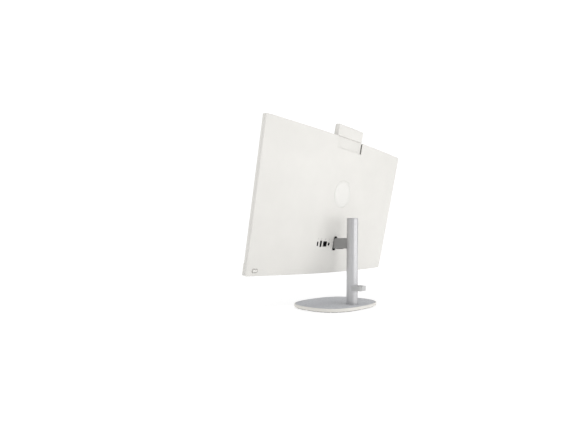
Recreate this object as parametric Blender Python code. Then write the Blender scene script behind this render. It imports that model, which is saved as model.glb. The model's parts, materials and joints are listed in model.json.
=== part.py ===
"""All-in-one desktop computer: a crowned display unit with a pop-up camera, on a pole stand.

Metres, +Z up, the screen faces -Y. The origin is the centre of the base, on the table.
Display pieces are modelled in panel coordinates: X across, Y from the screen to the back, Z up the
panel, with Y = 0 where the back cover's side edges end and Z = 0 at the panel's bottom edge.
"""

import math

import bmesh
import bpy
from mathutils import Matrix, Vector

# ---------------------------------------------------------------- driving dimensions

GAP = 0.0003  # clearance between pieces that seat against each other
BEYOND = 0.01  # how far a cutter reaches past what it cuts
INTO = 0.001  # how far welded shapes run into each other
TINY = 1e-6
CORNER_STEPS = 4
EDGE_STEPS = 3
HEXAGON = 6

SCREEN_DIAGONAL = 0.6858  # a 27 inch panel, 16:9
BEZEL = 0.0076  # from the picture to the side and top edges
CHIN_HEIGHT = 0.031
CHIN_PROUD = 0.0020  # how far the chin stands in front of the glass

EDGE_DEPTH = 0.0128  # from the glass to the back cover's side edge
CROWN = 0.0184  # how much deeper the middle of the back is
CROWN_POWER = 1.75
CORNER_RADIUS = 0.0030
EDGE_ROUND = 0.0010
WALL = 0.0022
SEAM_DEPTH = 0.0050  # the back cover ends this far in front of Y = 0

TILT = math.radians(10.9)  # how far the panel leans back at rest
HINGE_HEIGHT = 0.084  # tilt axis above the panel's bottom edge
HINGE_DEPTH = 0.0070  # tilt axis behind Y = 0
HINGE_WORLD_Z = 0.1771

BASE_HALF = (0.1285, 0.0900)  # half of the base's width and depth
BASE_POWER = 2.66  # 2 would be an ellipse, more is squarer
BASE_TOP = 0.0098
POLE_SETBACK = 0.0531  # pole axis behind the base's centre
POLE_RADIUS = 0.0150
POLE_WALL = 0.0025
POLE_TOP = 0.2455
ARM_LENGTH = 0.0692  # tilt axis to pole axis
ARM_HEIGHT = 0.0293
ARM_WIDTH = 0.0140

CAMERA_WIDTH = 0.114
CAMERA_DEPTH = 0.0138
CAMERA_LIFT = 0.0308  # travel of the pop-up camera

PORT_HEIGHT = 0.084  # centre line of the sockets above the panel's bottom edge

# ---------------------------------------------------------------- sizes worked out from them

SCREEN_WIDTH = SCREEN_DIAGONAL * 16 / math.hypot(16, 9)
SCREEN_HEIGHT = SCREEN_DIAGONAL * 9 / math.hypot(16, 9)
PANEL_WIDTH = SCREEN_WIDTH + 2 * BEZEL
PANEL_HEIGHT = SCREEN_HEIGHT + BEZEL + CHIN_HEIGHT
HALF_WIDTH = PANEL_WIDTH / 2
HINGE_WORLD = Vector((0.0, POLE_SETBACK - ARM_LENGTH, HINGE_WORLD_Z))
HINGE_PANEL = Vector((0.0, HINGE_DEPTH, HINGE_HEIGHT))

MATERIALS = {
    "white_plastic": ((0.88, 0.88, 0.86), 0.45, 0.0),
    "badge_gloss": ((0.93, 0.93, 0.91), 0.12, 0.0),
    "black_plastic": ((0.02, 0.02, 0.022), 0.45, 0.0),
    "screen_glass": ((0.015, 0.015, 0.018), 0.15, 0.0),
    "aluminium": ((0.72, 0.72, 0.73), 0.32, 1.0),
    "arm_grey": ((0.28, 0.28, 0.28), 0.50, 0.3),
    "steel": ((0.55, 0.56, 0.58), 0.35, 1.0),
    "fabric_grey": ((0.42, 0.43, 0.47), 0.95, 0.0),
    "rubber_black": ((0.03, 0.03, 0.03), 0.80, 0.0),
    "clip_grey": ((0.62, 0.62, 0.62), 0.50, 0.0),
    "board_green": ((0.03, 0.13, 0.07), 0.50, 0.0),
    "copper": ((0.72, 0.40, 0.26), 0.30, 1.0),
}

# ---------------------------------------------------------------- building tools


def clear_scene():
    for obj in list(bpy.data.objects):
        bpy.data.objects.remove(obj)


def material(name):
    found = bpy.data.materials.get(name)
    if found:
        return found
    colour, roughness, metallic = MATERIALS[name]
    made = bpy.data.materials.new(name)
    made.use_nodes = True
    shader = made.node_tree.nodes["Principled BSDF"]
    shader.inputs["Base Color"].default_value = (*colour, 1.0)
    shader.inputs["Roughness"].default_value = roughness
    shader.inputs["Metallic"].default_value = metallic
    made.diffuse_color = (*colour, 1.0)
    return made


def finish(name, bm, finish_name=None, sharp_angle=30):
    """Turn a bmesh into a linked object with outward normals and smooth round faces."""
    bmesh.ops.recalc_face_normals(bm, faces=bm.faces)
    mesh = bpy.data.meshes.new(name)
    bm.to_mesh(mesh)
    bm.free()
    mesh.shade_smooth()
    mesh.set_sharp_from_angle(angle=math.radians(sharp_angle))
    obj = bpy.data.objects.new(name, mesh)
    bpy.context.scene.collection.objects.link(obj)
    if finish_name:
        mesh.materials.append(material(finish_name))
    return obj


def box(name, low, high, finish_name=None):
    bm = bmesh.new()
    bmesh.ops.create_cube(bm, size=1.0)
    low, high = Vector(low), Vector(high)
    size, middle = high - low, (high + low) / 2
    for vertex in bm.verts:
        vertex.co = Vector(a * b for a, b in zip(vertex.co, size)) + middle
    return finish(name, bm, finish_name)


def boxes(name, spans):
    """One cutter made of several separate boxes, each given by its low and high corners."""
    bm = bmesh.new()
    for low, high in spans:
        low, high = Vector(low), Vector(high)
        size, middle = high - low, (high + low) / 2
        made = bmesh.ops.create_cube(bm, size=1.0)["verts"]
        for vertex in made:
            vertex.co = Vector(a * b for a, b in zip(vertex.co, size)) + middle
    return finish(name, bm)


AXES = {
    "X": Matrix(((0, 0, 1), (1, 0, 0), (0, 1, 0))),
    "Y": Matrix(((1, 0, 0), (0, 0, 1), (0, 1, 0))),
    "Z": Matrix.Identity(3),
}


def prism(name, outline, axis, low, high, finish_name=None):
    """Extrude an outline from low to high along an axis. Points are (Y, Z), (X, Z) or (X, Y)."""
    bm = bmesh.new()
    turn = AXES[axis]
    ring = [bm.verts.new(turn @ Vector((u, v, low))) for u, v in outline]
    face = bm.faces.new(ring)
    top = bmesh.ops.extrude_face_region(bm, geom=[face])["geom"]
    moved = [item for item in top if isinstance(item, bmesh.types.BMVert)]
    bmesh.ops.translate(bm, verts=moved, vec=turn @ Vector((0, 0, high - low)))
    return finish(name, bm, finish_name)


def arc(centre, radius, start, end, steps):
    """Points along an arc, angles in degrees."""
    angles = [math.radians(start + (end - start) * k / steps) for k in range(steps + 1)]
    return [(centre[0] + radius * math.cos(a), centre[1] + radius * math.sin(a)) for a in angles]


def rounded_rectangle(centre, width, height, radius, steps=CORNER_STEPS):
    right, top = width / 2 - radius, height / 2 - radius
    points = []
    for quarter, (sx, sy) in enumerate(((1, 1), (-1, 1), (-1, -1), (1, -1))):
        corner = (centre[0] + sx * right, centre[1] + sy * top)
        points += arc(corner, radius, 90 * quarter, 90 * quarter + 90, steps)
    return points


def circle(centre, radius, steps=24):
    return arc(centre, radius, 0, 360 - 360 / steps, steps - 1)


def oval(inset, steps):
    """The base's outline, a squared-off ellipse, drawn inset from its edge."""
    points = []
    for k in range(steps):
        angle = math.tau * k / steps
        across, along = math.cos(angle), math.sin(angle)
        x = math.copysign(abs(across) ** (2 / BASE_POWER), across) * (BASE_HALF[0] - inset)
        y = math.copysign(abs(along) ** (2 / BASE_POWER), along) * (BASE_HALF[1] - inset)
        points.append((x, y))
    return points


def plate(name, layers, steps, finish_name=None):
    """A solid of the base's outline, from (inset, height) layers listed from the bottom up."""
    bm = bmesh.new()
    rings = []
    for inset, height in layers:
        rings.append([bm.verts.new((x, y, height)) for x, y in oval(inset, steps)])
    for lower, upper in zip(rings, rings[1:]):
        for k in range(steps):
            after = (k + 1) % steps
            bm.faces.new((lower[k], lower[after], upper[after], upper[k]))
    bm.faces.new(rings[0])
    bm.faces.new(rings[-1])
    return finish(name, bm, finish_name)


def turned(name, profile, centre, steps, finish_name=None):
    """Turn a closed (radius, height) profile about a vertical axis. Radius 0 lies on the axis."""
    bm = bmesh.new()
    loop = [bm.verts.new((radius, 0.0, height)) for radius, height in profile]
    edges = [bm.edges.new((a, b)) for a, b in zip(loop, loop[1:] + loop[:1])]
    on_axis = [edge for edge in edges if all(v.co.x < TINY for v in edge.verts)]
    for edge in on_axis:
        edges.remove(edge)
        bm.edges.remove(edge)
    bmesh.ops.spin(
        bm, geom=edges, cent=(0, 0, 0), axis=(0, 0, 1), angle=math.tau, steps=steps, use_merge=True
    )
    bmesh.ops.remove_doubles(bm, verts=bm.verts, dist=TINY)
    bmesh.ops.translate(bm, verts=bm.verts, vec=Vector((centre[0], centre[1], 0.0)))
    return finish(name, bm, finish_name)


def boolean(obj, tool, operation):
    """Join or cut with a hidden tool that moves with the piece."""
    modifier = obj.modifiers.new(f"{operation.lower()}_{tool.name}", "BOOLEAN")
    modifier.operation = operation
    modifier.solver = "EXACT"
    modifier.object = tool
    tool.parent = obj
    tool.hide_render = True
    tool.display_type = "WIRE"


def cut(obj, tool):
    boolean(obj, tool, "DIFFERENCE")


def weld(obj, tool):
    boolean(obj, tool, "UNION")


def empty(name, parent=None, at=(0, 0, 0)):
    made = bpy.data.objects.new(name, None)
    made.location = at
    made.parent = parent
    bpy.context.scene.collection.objects.link(made)
    return made


# ---------------------------------------------------------------- the panel's own shapes


def crown_depth(x):
    """How far behind Y = 0 the back cover's outer surface lies."""
    return CROWN * (1 - abs(x / HALF_WIDTH) ** CROWN_POWER)


COVER_COLUMNS = 22
LEAST_ROUND = 0.05  # share of an edge's rounding left where a slab's side tapers out


def slab_columns(half_width, radius, columns):
    """(x, inset) pairs across a slab: the inset is what a rounded corner takes off its height."""
    end = [
        (half_width - radius + radius * math.cos(a), radius - radius * math.sin(a))
        for a in (math.pi / 2 * k / CORNER_STEPS for k in range(CORNER_STEPS + 1))
    ]
    span = half_width - radius
    middle = [(span - 2 * span * k / columns, 0.0) for k in range(1, columns)]
    return end + middle + [(-x, inset) for x, inset in reversed(end)]


def slab(name, half_width, low, high, radius, front, rear, finish_name=None, columns=COVER_COLUMNS, soft=0.0):
    """A plate lofted across X. Front and rear are its Y faces as functions of x; soft rounds the
    edges of the rear face."""
    bm = bmesh.new()
    rings = []
    for x, inset in slab_columns(half_width, radius, columns):
        side = max(0.0, abs(x) - (half_width - soft)) if soft else 0.0
        drop = soft - math.sqrt(max(soft * soft - side * side, 0.0)) if soft else 0.0
        near, far = front(x), rear(x) - drop
        bottom, top = low + inset, high - inset
        points = [(near, bottom), (near, top)]
        if soft:
            round_here = max(soft - drop, soft * LEAST_ROUND)
            points += reversed(arc((far - round_here, top - round_here), round_here, 0, 90, EDGE_STEPS))
            points += reversed(arc((far - round_here, bottom + round_here), round_here, -90, 0, EDGE_STEPS))
        else:
            points += [(far, top), (far, bottom)]
        rings.append([bm.verts.new((x, y, z)) for y, z in points])
    for one, two in zip(rings, rings[1:]):
        for k in range(len(one)):
            after = (k + 1) % len(one)
            bm.faces.new((one[k], one[after], two[after], two[k]))
    bm.faces.new(rings[0])
    bm.faces.new(reversed(rings[-1]))
    return finish(name, bm, finish_name)


def level(y):
    return lambda x: y


def on_panel(obj, mount):
    """Hang a piece that is modelled in panel coordinates from an empty on a joint's axis."""
    obj.parent = mount
    obj.location = -Vector(mount["panel_place"])
    return obj


def panel_mount(name, parent, place):
    """An empty at a place in panel coordinates, below the tilt axis or another such empty."""
    at = Vector(place) - Vector(parent["panel_place"])
    made = empty(name, parent, at)
    made["panel_place"] = tuple(place)
    return made


# ---------------------------------------------------------------- stand

POLE_CENTRE = (0.0, POLE_SETBACK)
BASE_STEPS = 96
POLE_STEPS = 36
SMALL_STEPS = 16
FOOT_HEIGHT = 0.0010
FOOT_WIDTH = 0.011
FOOT_NOTCH = 0.004
FOOT_SEGMENTS = 28
FOOT_STEPS = 6  # points along each segment, the last of them in a notch
SHELL_WALL = 0.0032
SHELL_WEB = 0.0012
SHELL_ROUND = 0.0014
RIM_DROP = 0.0001  # the rim ends this far below the inlay
INLAY_ROUND = 0.0004
INLAY_THICKNESS = 0.0012
INLAY_MARGIN = 0.0022  # width of the shell's rim around the inlay
BOLT_RADIUS = 0.0040
BOLT_HEAD_RADIUS = 0.0090
BOLT_HEAD_HEIGHT = 0.0030
BOLT_SHORT = 0.0060  # the bolt and its thread end this far and this far below the plug's top
THREAD_SHORT = 0.0040
PLUG_TOP = 0.040
CAP_HEIGHT = 0.0022
CAP_CHAMFER = 0.0006
CAP_PLUG = 0.0060
CORE_HALF_HEIGHT = 0.022
SHOULDER_DEPTH = 0.0052  # how far the arm's blade goes inside the pole's bore
TENON_HEIGHT = 0.020
TENON_WIDTH = 0.0080
TENON_REACH = 0.0065  # past the pole's axis
LOCK_RADIUS = 0.0025
LOCK_HEAD = (0.0045, 0.0040)  # radius, and top above the core
LOCK_FLOOR = 0.0040  # the lock hole ends this far above the core's bottom
WALL_CLEAR = 0.0040  # cutters through one wall of the pole start this far from its axis

INLAY_BOTTOM = BASE_TOP - INLAY_THICKNESS
WEB_TOP = INLAY_BOTTOM - GAP
WEB_BOTTOM = WEB_TOP - SHELL_WEB
WEIGHT_TOP = WEB_BOTTOM - GAP
WEIGHT_BOTTOM = FOOT_HEIGHT + GAP
POLE_BORE = POLE_RADIUS - POLE_WALL
POLE_FOOT = WEIGHT_TOP + GAP


def base_shell():
    """Shallow dish, upside down, with a recess on top for the inlay."""
    soft, rim_top = SHELL_ROUND, BASE_TOP - RIM_DROP
    rise = arc((soft, WEIGHT_BOTTOM + soft), soft, 270, 180, EDGE_STEPS)
    rise += arc((soft, rim_top - soft), soft, 180, 90, EDGE_STEPS)
    shell = plate("base_shell", rise, BASE_STEPS, "white_plastic")
    cut(shell, plate("inlay_recess", [(INLAY_MARGIN, WEB_TOP), (INLAY_MARGIN, BASE_TOP + BEYOND)],
                     BASE_STEPS))
    cut(shell, plate("weight_room", [(SHELL_WALL, -BEYOND), (SHELL_WALL, WEB_BOTTOM)], BASE_STEPS))
    cut(shell, pole_hole("shell_pole_hole"))
    return shell


def pole_hole(name):
    """Clearance hole for the pole through the shell and the inlay."""
    return prism(name, circle(POLE_CENTRE, POLE_RADIUS + GAP, POLE_STEPS), "Z", 0.0, BASE_TOP + BEYOND)


def base_inlay():
    edge = INLAY_MARGIN + GAP
    layers = [(edge, INLAY_BOTTOM), (edge, BASE_TOP - INLAY_ROUND), (edge + INLAY_ROUND, BASE_TOP)]
    inlay = plate("base_inlay", layers, BASE_STEPS, "fabric_grey")
    cut(inlay, pole_hole("inlay_pole_hole"))
    return inlay


def base_weight():
    edge = SHELL_WALL + GAP
    weight = plate("base_weight", [(edge, WEIGHT_BOTTOM), (edge, WEIGHT_TOP)], BASE_STEPS // 2, "steel")
    head = circle(POLE_CENTRE, BOLT_HEAD_RADIUS + GAP)
    shank = circle(POLE_CENTRE, BOLT_RADIUS + GAP)
    cut(weight, prism("bolt_counterbore", head, "Z", 0.0, WEIGHT_BOTTOM + BOLT_HEAD_HEIGHT + GAP))
    cut(weight, prism("bolt_hole", shank, "Z", 0.0, BASE_TOP))
    return weight


def foot_ring():
    """A rubber ring under the weight, with notches around its outer edge."""
    edge = SHELL_WALL + GAP
    outer = oval(edge, FOOT_SEGMENTS * FOOT_STEPS)
    floor = oval(edge + FOOT_NOTCH, FOOT_SEGMENTS * FOOT_STEPS)
    outline = []
    for k in range(FOOT_SEGMENTS):
        start, end = k * FOOT_STEPS, (k + 1) * FOOT_STEPS
        outline += outer[start:end]
        outline += floor[end - 1:end]
    ring = prism("foot_ring", outline, "Z", 0.0, FOOT_HEIGHT, "rubber_black")
    bore = edge + FOOT_WIDTH
    cut(ring, plate("foot_ring_bore", [(bore, -BEYOND), (bore, BEYOND)], BASE_STEPS))
    return ring


def stand_bolt():
    low = WEIGHT_BOTTOM + GAP
    head = prism("stand_bolt", circle(POLE_CENTRE, BOLT_HEAD_RADIUS, HEXAGON), "Z",
                 low, low + BOLT_HEAD_HEIGHT - GAP, "steel")
    shank = prism("bolt_shank", circle(POLE_CENTRE, BOLT_RADIUS), "Z",
                  low + INTO, PLUG_TOP - BOLT_SHORT)
    weld(head, shank)
    return head


def pole_plug():
    """Threaded block in the foot of the pole."""
    plug = prism("pole_plug", circle(POLE_CENTRE, POLE_BORE - GAP, POLE_STEPS), "Z",
                 POLE_FOOT, PLUG_TOP, "steel")
    cut(plug, prism("plug_thread", circle(POLE_CENTRE, BOLT_RADIUS + GAP), "Z", 0.0, PLUG_TOP - THREAD_SHORT))
    return plug


def pole_tube():
    tube = prism("pole_tube", circle(POLE_CENTRE, POLE_RADIUS, POLE_STEPS), "Z",
                 POLE_FOOT, POLE_TOP - CAP_HEIGHT, "aluminium")
    cut(tube, prism("pole_bore", circle(POLE_CENTRE, POLE_BORE, POLE_STEPS), "Z", 0.0, POLE_TOP))
    half = Vector((ARM_WIDTH / 2 + GAP, 0, ARM_HEIGHT / 2 + GAP))
    front = POLE_SETBACK - POLE_RADIUS
    cut(tube, box("arm_slot", (-half.x, front - BEYOND, HINGE_WORLD_Z - half.z),
                  (half.x, POLE_SETBACK - WALL_CLEAR, HINGE_WORLD_Z + half.z)))
    peg = CLIP_PEG_RADIUS + GAP
    cut(tube, prism("peg_hole", circle((0.0, CLIP_HEIGHT), peg, CLIP_PEG_STEPS), "Y",
                    POLE_SETBACK + WALL_CLEAR, POLE_SETBACK + POLE_RADIUS + BEYOND))
    return tube


def pole_cap():
    bottom = POLE_TOP - CAP_HEIGHT + GAP
    plug = POLE_BORE - GAP
    profile = [(0.0, bottom - CAP_PLUG), (plug, bottom - CAP_PLUG), (plug, bottom), (POLE_RADIUS, bottom)]
    profile += [(POLE_RADIUS, POLE_TOP - CAP_CHAMFER), (POLE_RADIUS - CAP_CHAMFER, POLE_TOP), (0.0, POLE_TOP)]
    return turned("pole_cap", profile, POLE_CENTRE, POLE_STEPS, "aluminium")


def arm_core():
    """Block inside the pole that takes the arm's tenon."""
    low, high = HINGE_WORLD_Z - CORE_HALF_HEIGHT, HINGE_WORLD_Z + CORE_HALF_HEIGHT
    core = prism("arm_core", circle(POLE_CENTRE, POLE_BORE - GAP, POLE_STEPS), "Z", low, high, "steel")
    blade = ARM_WIDTH / 2 + GAP
    tenon = Vector((TENON_WIDTH / 2 + GAP, 0, TENON_HEIGHT / 2 + GAP))
    shoulder = POLE_SETBACK - POLE_BORE + SHOULDER_DEPTH + GAP
    cut(core, box("blade_clearance", (-blade, 0.0, low - BEYOND), (blade, shoulder, high + BEYOND)))
    cut(core, box("tenon_mortise", (-tenon.x, 0.0, HINGE_WORLD_Z - tenon.z),
                  (tenon.x, POLE_SETBACK + TENON_REACH + GAP, HINGE_WORLD_Z + tenon.z)))
    cut(core, prism("lock_hole", circle(POLE_CENTRE, LOCK_RADIUS + GAP, SMALL_STEPS), "Z",
                    low + LOCK_FLOOR, high + BEYOND))
    return core


def arm_lock_screw():
    high = HINGE_WORLD_Z + CORE_HALF_HEIGHT
    radius, top = LOCK_HEAD
    screw = prism("arm_lock_screw", circle(POLE_CENTRE, LOCK_RADIUS, SMALL_STEPS), "Z",
                  HINGE_WORLD_Z - CORE_HALF_HEIGHT + LOCK_FLOOR + INTO, high + 2 * INTO, "steel")
    weld(screw, prism("lock_head", circle(POLE_CENTRE, radius, SMALL_STEPS), "Z", high + INTO, high + top))
    return screw


ARM_NOSE = 0.0080  # radius of the arm's end around the tilt axis
ARM_SHOULDERS = (0.0190, 0.0130)  # the blade's top and bottom start this far behind the tilt axis
ARM_CORNERS = (0.0060, 0.0040)
HINGE_PIN_RADIUS = 0.0030


def tilt_arm():
    """Horizontal blade from the pole to the tilt axis. Its profile is in (Y, Z)."""
    y, z = HINGE_WORLD.y, HINGE_WORLD.z
    half = ARM_HEIGHT / 2
    shoulder = POLE_SETBACK - POLE_BORE + SHOULDER_DEPTH
    nose = arc((y, z), ARM_NOSE, 125, 235, 2 * CORNER_STEPS)
    above, below = ARM_SHOULDERS
    round_above, round_below = ARM_CORNERS
    upper = arc((y + above, z + half - round_above), round_above, 90, 130, EDGE_STEPS)
    lower = arc((y + below, z - half + round_below), round_below, 230, 270, EDGE_STEPS)
    outline = [(shoulder, z + half)] + upper + nose + lower + [(shoulder, z - half)]
    arm = prism("tilt_arm", outline, "X", -ARM_WIDTH / 2, ARM_WIDTH / 2, "arm_grey")
    tenon = Vector((TENON_WIDTH / 2, 0, TENON_HEIGHT / 2))
    weld(arm, box("arm_tenon", (-tenon.x, shoulder - INTO, z - tenon.z),
                  (tenon.x, POLE_SETBACK + TENON_REACH, z + tenon.z)))
    side = ARM_WIDTH / 2 + BEYOND
    cut(arm, prism("arm_bore", circle((y, z), HINGE_PIN_RADIUS + GAP), "X", -side, side))
    cut(arm, prism("tenon_lock_hole", circle(POLE_CENTRE, LOCK_RADIUS + GAP, SMALL_STEPS), "Z",
                   z - half - BEYOND, z + half + BEYOND))
    return arm


CLIP_HEIGHT = 0.0555  # middle of the cable clip above the table
CLIP_TALL = 0.0143
CLIP_WIDTH = 0.0285
CLIP_REACH = 0.0362  # from the pole's axis to the clip's back
CLIP_WALL = 0.0022
CLIP_SEAT = 0.0022  # thickness of the clip behind the pole
CLIP_START = 0.0050  # the clip's arms start this far behind the pole's axis
CLIP_CORNERS = (0.0035, 0.0015)  # outside and inside
CLIP_PEG_RADIUS = 0.0020
CLIP_PEG_STEPS = 12
CLIP_PEG_INSIDE = 0.0004
CLIP_SLIT = 0.0022
CLIP_SLIT_EDGE = 0.0038  # from the clip's side to the slit
CLIP_SLIT_DEPTH = 0.0040


def cable_clip():
    """A loop pegged to the back of the pole, with a slit for pushing cables in."""
    low, high = CLIP_HEIGHT - CLIP_TALL / 2, CLIP_HEIGHT + CLIP_TALL / 2
    below, above = low - BEYOND, high + BEYOND
    start = POLE_SETBACK + CLIP_START
    end = POLE_SETBACK + CLIP_REACH
    middle = (0.0, (start + end) / 2)
    outline = rounded_rectangle(middle, CLIP_WIDTH, end - start, CLIP_CORNERS[0])
    clip = prism("cable_clip", outline, "Z", low, high, "clip_grey")
    room_start, room_end = POLE_SETBACK + POLE_RADIUS + CLIP_SEAT, end - CLIP_WALL
    room = rounded_rectangle((0.0, (room_start + room_end) / 2), CLIP_WIDTH - 2 * CLIP_WALL,
                             room_end - room_start, CLIP_CORNERS[1])
    cut(clip, prism("clip_room", room, "Z", below, above))
    cut(clip, prism("clip_seat", circle(POLE_CENTRE, POLE_RADIUS + GAP, POLE_STEPS), "Z", below, above))
    slit = CLIP_WIDTH / 2 - CLIP_SLIT_EDGE
    cut(clip, box("clip_slit", (slit - CLIP_SLIT, end - CLIP_SLIT_DEPTH, below), (slit, end + BEYOND, above)))
    weld(clip, prism("clip_peg", circle((0.0, CLIP_HEIGHT), CLIP_PEG_RADIUS, CLIP_PEG_STEPS), "Y",
                     POLE_SETBACK + POLE_BORE + CLIP_PEG_INSIDE, POLE_SETBACK + POLE_RADIUS + INTO))
    return clip


# ---------------------------------------------------------------- housing

SLOT_WIDTH = 0.0160  # opening of the hinge shroud
SLOT_HEIGHT = 0.0410
SLOT_CENTRE = (0.0, 0.0868)  # on the arm's line where it leaves the cover
SLOT_CORNER = 0.0045
SHROUD_WALL = 0.0016
SHROUD_PROUD = 0.0002
SHROUD_INSIDE = 0.0008  # how far the collar stands inside the cover
BADGE_RADIUS = 0.0375
BADGE_HEIGHT = 0.603 * PANEL_HEIGHT
BADGE_THICKNESS = 0.0008
BADGE_PROUD = 0.0004  # how far its face stands above the cover at the rim
BADGE_STEPS = 48
BUTTON_PLACE = (HALF_WIDTH - 0.0245, 0.0136)
BUTTON_SIZE = (0.0150, 0.0084)
BUTTON_CORNER = 0.0012
BUTTON_HOLE_CORNER = 0.0015
BUTTON_CLEARANCE = 0.0008
BUTTON_PROUD = 0.0001
BUTTON_TRAVEL = 0.0010
BUTTON_FLANGE_REACH = 0.0008  # how far the retaining flange reaches behind the cover
BUTTON_FLANGE_THICKNESS = 0.0010
POCKET_CLEARANCE = 0.0013
POCKET_FLOOR = PANEL_HEIGHT - CAMERA_LIFT
GLASS_THICKNESS = 0.0010
FRAME_LIP = 0.0019
LEDGE = 0.0049
CHASSIS_INSET = 0.0100
VENT_WIDTH = 0.0030
VENT_PITCH = 0.0070
VENT_REACH = (0.0745, 0.1865)  # a row of slots starts and ends this far in from the side
VENT_HALF_LENGTH = 0.0035

# name, x, body width and height, mouth width and height
SOCKETS = [
    ("small_data_port", 0.0759, (0.0056, 0.0116), (0.0034, 0.0092)),
    ("video_port", 0.0624, (0.0078, 0.0176), (0.0056, 0.0152)),
    ("network_port", 0.0446, (0.0164, 0.0146), (0.0130, 0.0112)),
    ("data_port_1", -0.0300, (0.0078, 0.0152), (0.0052, 0.0126)),
    ("data_port_2", -0.0430, (0.0078, 0.0152), (0.0052, 0.0126)),
    ("data_port_3", -0.0560, (0.0078, 0.0152), (0.0052, 0.0126)),
    ("data_port_4", -0.0690, (0.0078, 0.0152), (0.0052, 0.0126)),
]
# name, x, body radius, mouth radius
JACKS = [
    ("dc_in_port", 0.0277, 0.0043, 0.0031),
    ("audio_port", -0.0820, 0.0036, 0.0018),
]
BOARD_FRONT, BOARD_THICKNESS = 0.0005, 0.0016
SOCKET_FRONT = BOARD_FRONT + BOARD_THICKNESS + GAP
SOCKET_DEPTH = 0.0090  # how far a plug goes in
SOCKET_SUNK = 0.0003  # how far a socket's end lies below the cover's surface
WINDOW_CORNER = 0.0008
WINDOW_STEPS = 2


def slot_outline(margin):
    """The arm's opening in the cover, grown by a margin all round."""
    size = (SLOT_WIDTH + 2 * margin, SLOT_HEIGHT + 2 * margin)
    return rounded_rectangle(SLOT_CENTRE, *size, SLOT_CORNER + margin)


def vent_slots(name, spans, heights):
    """Rows of slots through the top or bottom wall: spans are (first x, last x)."""
    half, reach = VENT_WIDTH / 2, VENT_HALF_LENGTH
    slots = []
    for first, last in spans:
        count = int((last - first) / VENT_PITCH)
        for k in range(count + 1):
            x = first + k * VENT_PITCH
            slots.append(((x - half, -reach, heights[0]), (x + half, reach, heights[1])))
    return boxes(name, slots)


def rear_cover():
    cover = slab("rear_cover", HALF_WIDTH, 0.0, PANEL_HEIGHT, CORNER_RADIUS,
                 level(-SEAM_DEPTH), crown_depth, "white_plastic", soft=EDGE_ROUND)
    cut(cover, slab("cover_room", HALF_WIDTH - WALL, WALL, PANEL_HEIGHT - WALL, CORNER_RADIUS / 2,
                    level(-SEAM_DEPTH - BEYOND), lambda x: crown_depth(x) - WALL))
    half = CAMERA_WIDTH / 2 + POCKET_CLEARANCE
    deep, outside = CROWN - BEYOND, CROWN + BEYOND
    cut(cover, box("camera_pocket", (-half, -POCKET_CLEARANCE / 2, POCKET_FLOOR),
                   (half, outside, PANEL_HEIGHT + BEYOND)))
    cut(cover, prism("shroud_hole", slot_outline(SHROUD_WALL + GAP), "Y", deep, outside))
    for name, x, body, mouth in SOCKETS:
        outline = rounded_rectangle((x, PORT_HEIGHT), body[0] + 2 * GAP, body[1] + 2 * GAP, WINDOW_CORNER,
                                    WINDOW_STEPS)
        cut(cover, prism(f"{name}_window", outline, "Y", deep, outside))
    for name, x, body, mouth in JACKS:
        outline = circle((x, PORT_HEIGHT), body + GAP, SMALL_STEPS)
        cut(cover, prism(f"{name}_window", outline, "Y", deep, outside))
    hole = [size + 2 * BUTTON_CLEARANCE for size in BUTTON_SIZE]
    cut(cover, prism("button_hole", rounded_rectangle(BUTTON_PLACE, *hole, BUTTON_HOLE_CORNER), "Y",
                     -SEAM_DEPTH - INTO, BEYOND))
    cut(cover, prism("badge_recess", circle((0.0, BADGE_HEIGHT), BADGE_RADIUS + GAP, BADGE_STEPS), "Y",
                     badge_floor() - GAP, outside))
    outer, inner = (HALF_WIDTH - reach for reach in VENT_REACH)
    above = (PANEL_HEIGHT - BEYOND, PANEL_HEIGHT + BEYOND)
    cut(cover, vent_slots("intake_slots", [(-outer, -inner), (inner, outer)], (-BEYOND, BEYOND)))
    cut(cover, vent_slots("exhaust_slots", [(inner, outer)], above))
    return cover


def front_frame():
    """White ring around the glass, behind the chin at the bottom."""
    frame = slab("front_frame", HALF_WIDTH, 0.0, PANEL_HEIGHT, CORNER_RADIUS,
                 level(-EDGE_DEPTH), level(-SEAM_DEPTH - GAP), "white_plastic")
    inner = HALF_WIDTH - LEDGE
    ahead = -EDGE_DEPTH - BEYOND
    cut(frame, box("frame_room", (-inner, ahead, WALL), (inner, 0.0, PANEL_HEIGHT - LEDGE)))
    lip = HALF_WIDTH - FRAME_LIP
    cut(frame, box("glass_seat", (-lip, ahead, CHIN_HEIGHT - INTO),
                   (lip, -EDGE_DEPTH + GLASS_THICKNESS + GAP, PANEL_HEIGHT - FRAME_LIP)))
    cut(frame, box("chin_seat", (-HALF_WIDTH - BEYOND, ahead, -BEYOND),
                   (HALF_WIDTH + BEYOND, CHIN_BACK + GAP, CHIN_HEIGHT + GAP)))
    return frame


def display_glass():
    side = HALF_WIDTH - FRAME_LIP - GAP
    return box("display_glass", (-side, -EDGE_DEPTH, CHIN_HEIGHT + 2 * GAP),
               (side, -EDGE_DEPTH + GLASS_THICKNESS, PANEL_HEIGHT - FRAME_LIP - GAP), "screen_glass")


LCD_BACK = -0.0046
LCD_FOOT = 0.0030  # the panel starts this far above the chin


def lcd_panel():
    side = HALF_WIDTH - LEDGE - GAP
    return box("lcd_panel", (-side, -EDGE_DEPTH + GLASS_THICKNESS + GAP, CHIN_HEIGHT + LCD_FOOT),
               (side, LCD_BACK, PANEL_HEIGHT - LEDGE - GAP), "steel")


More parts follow.
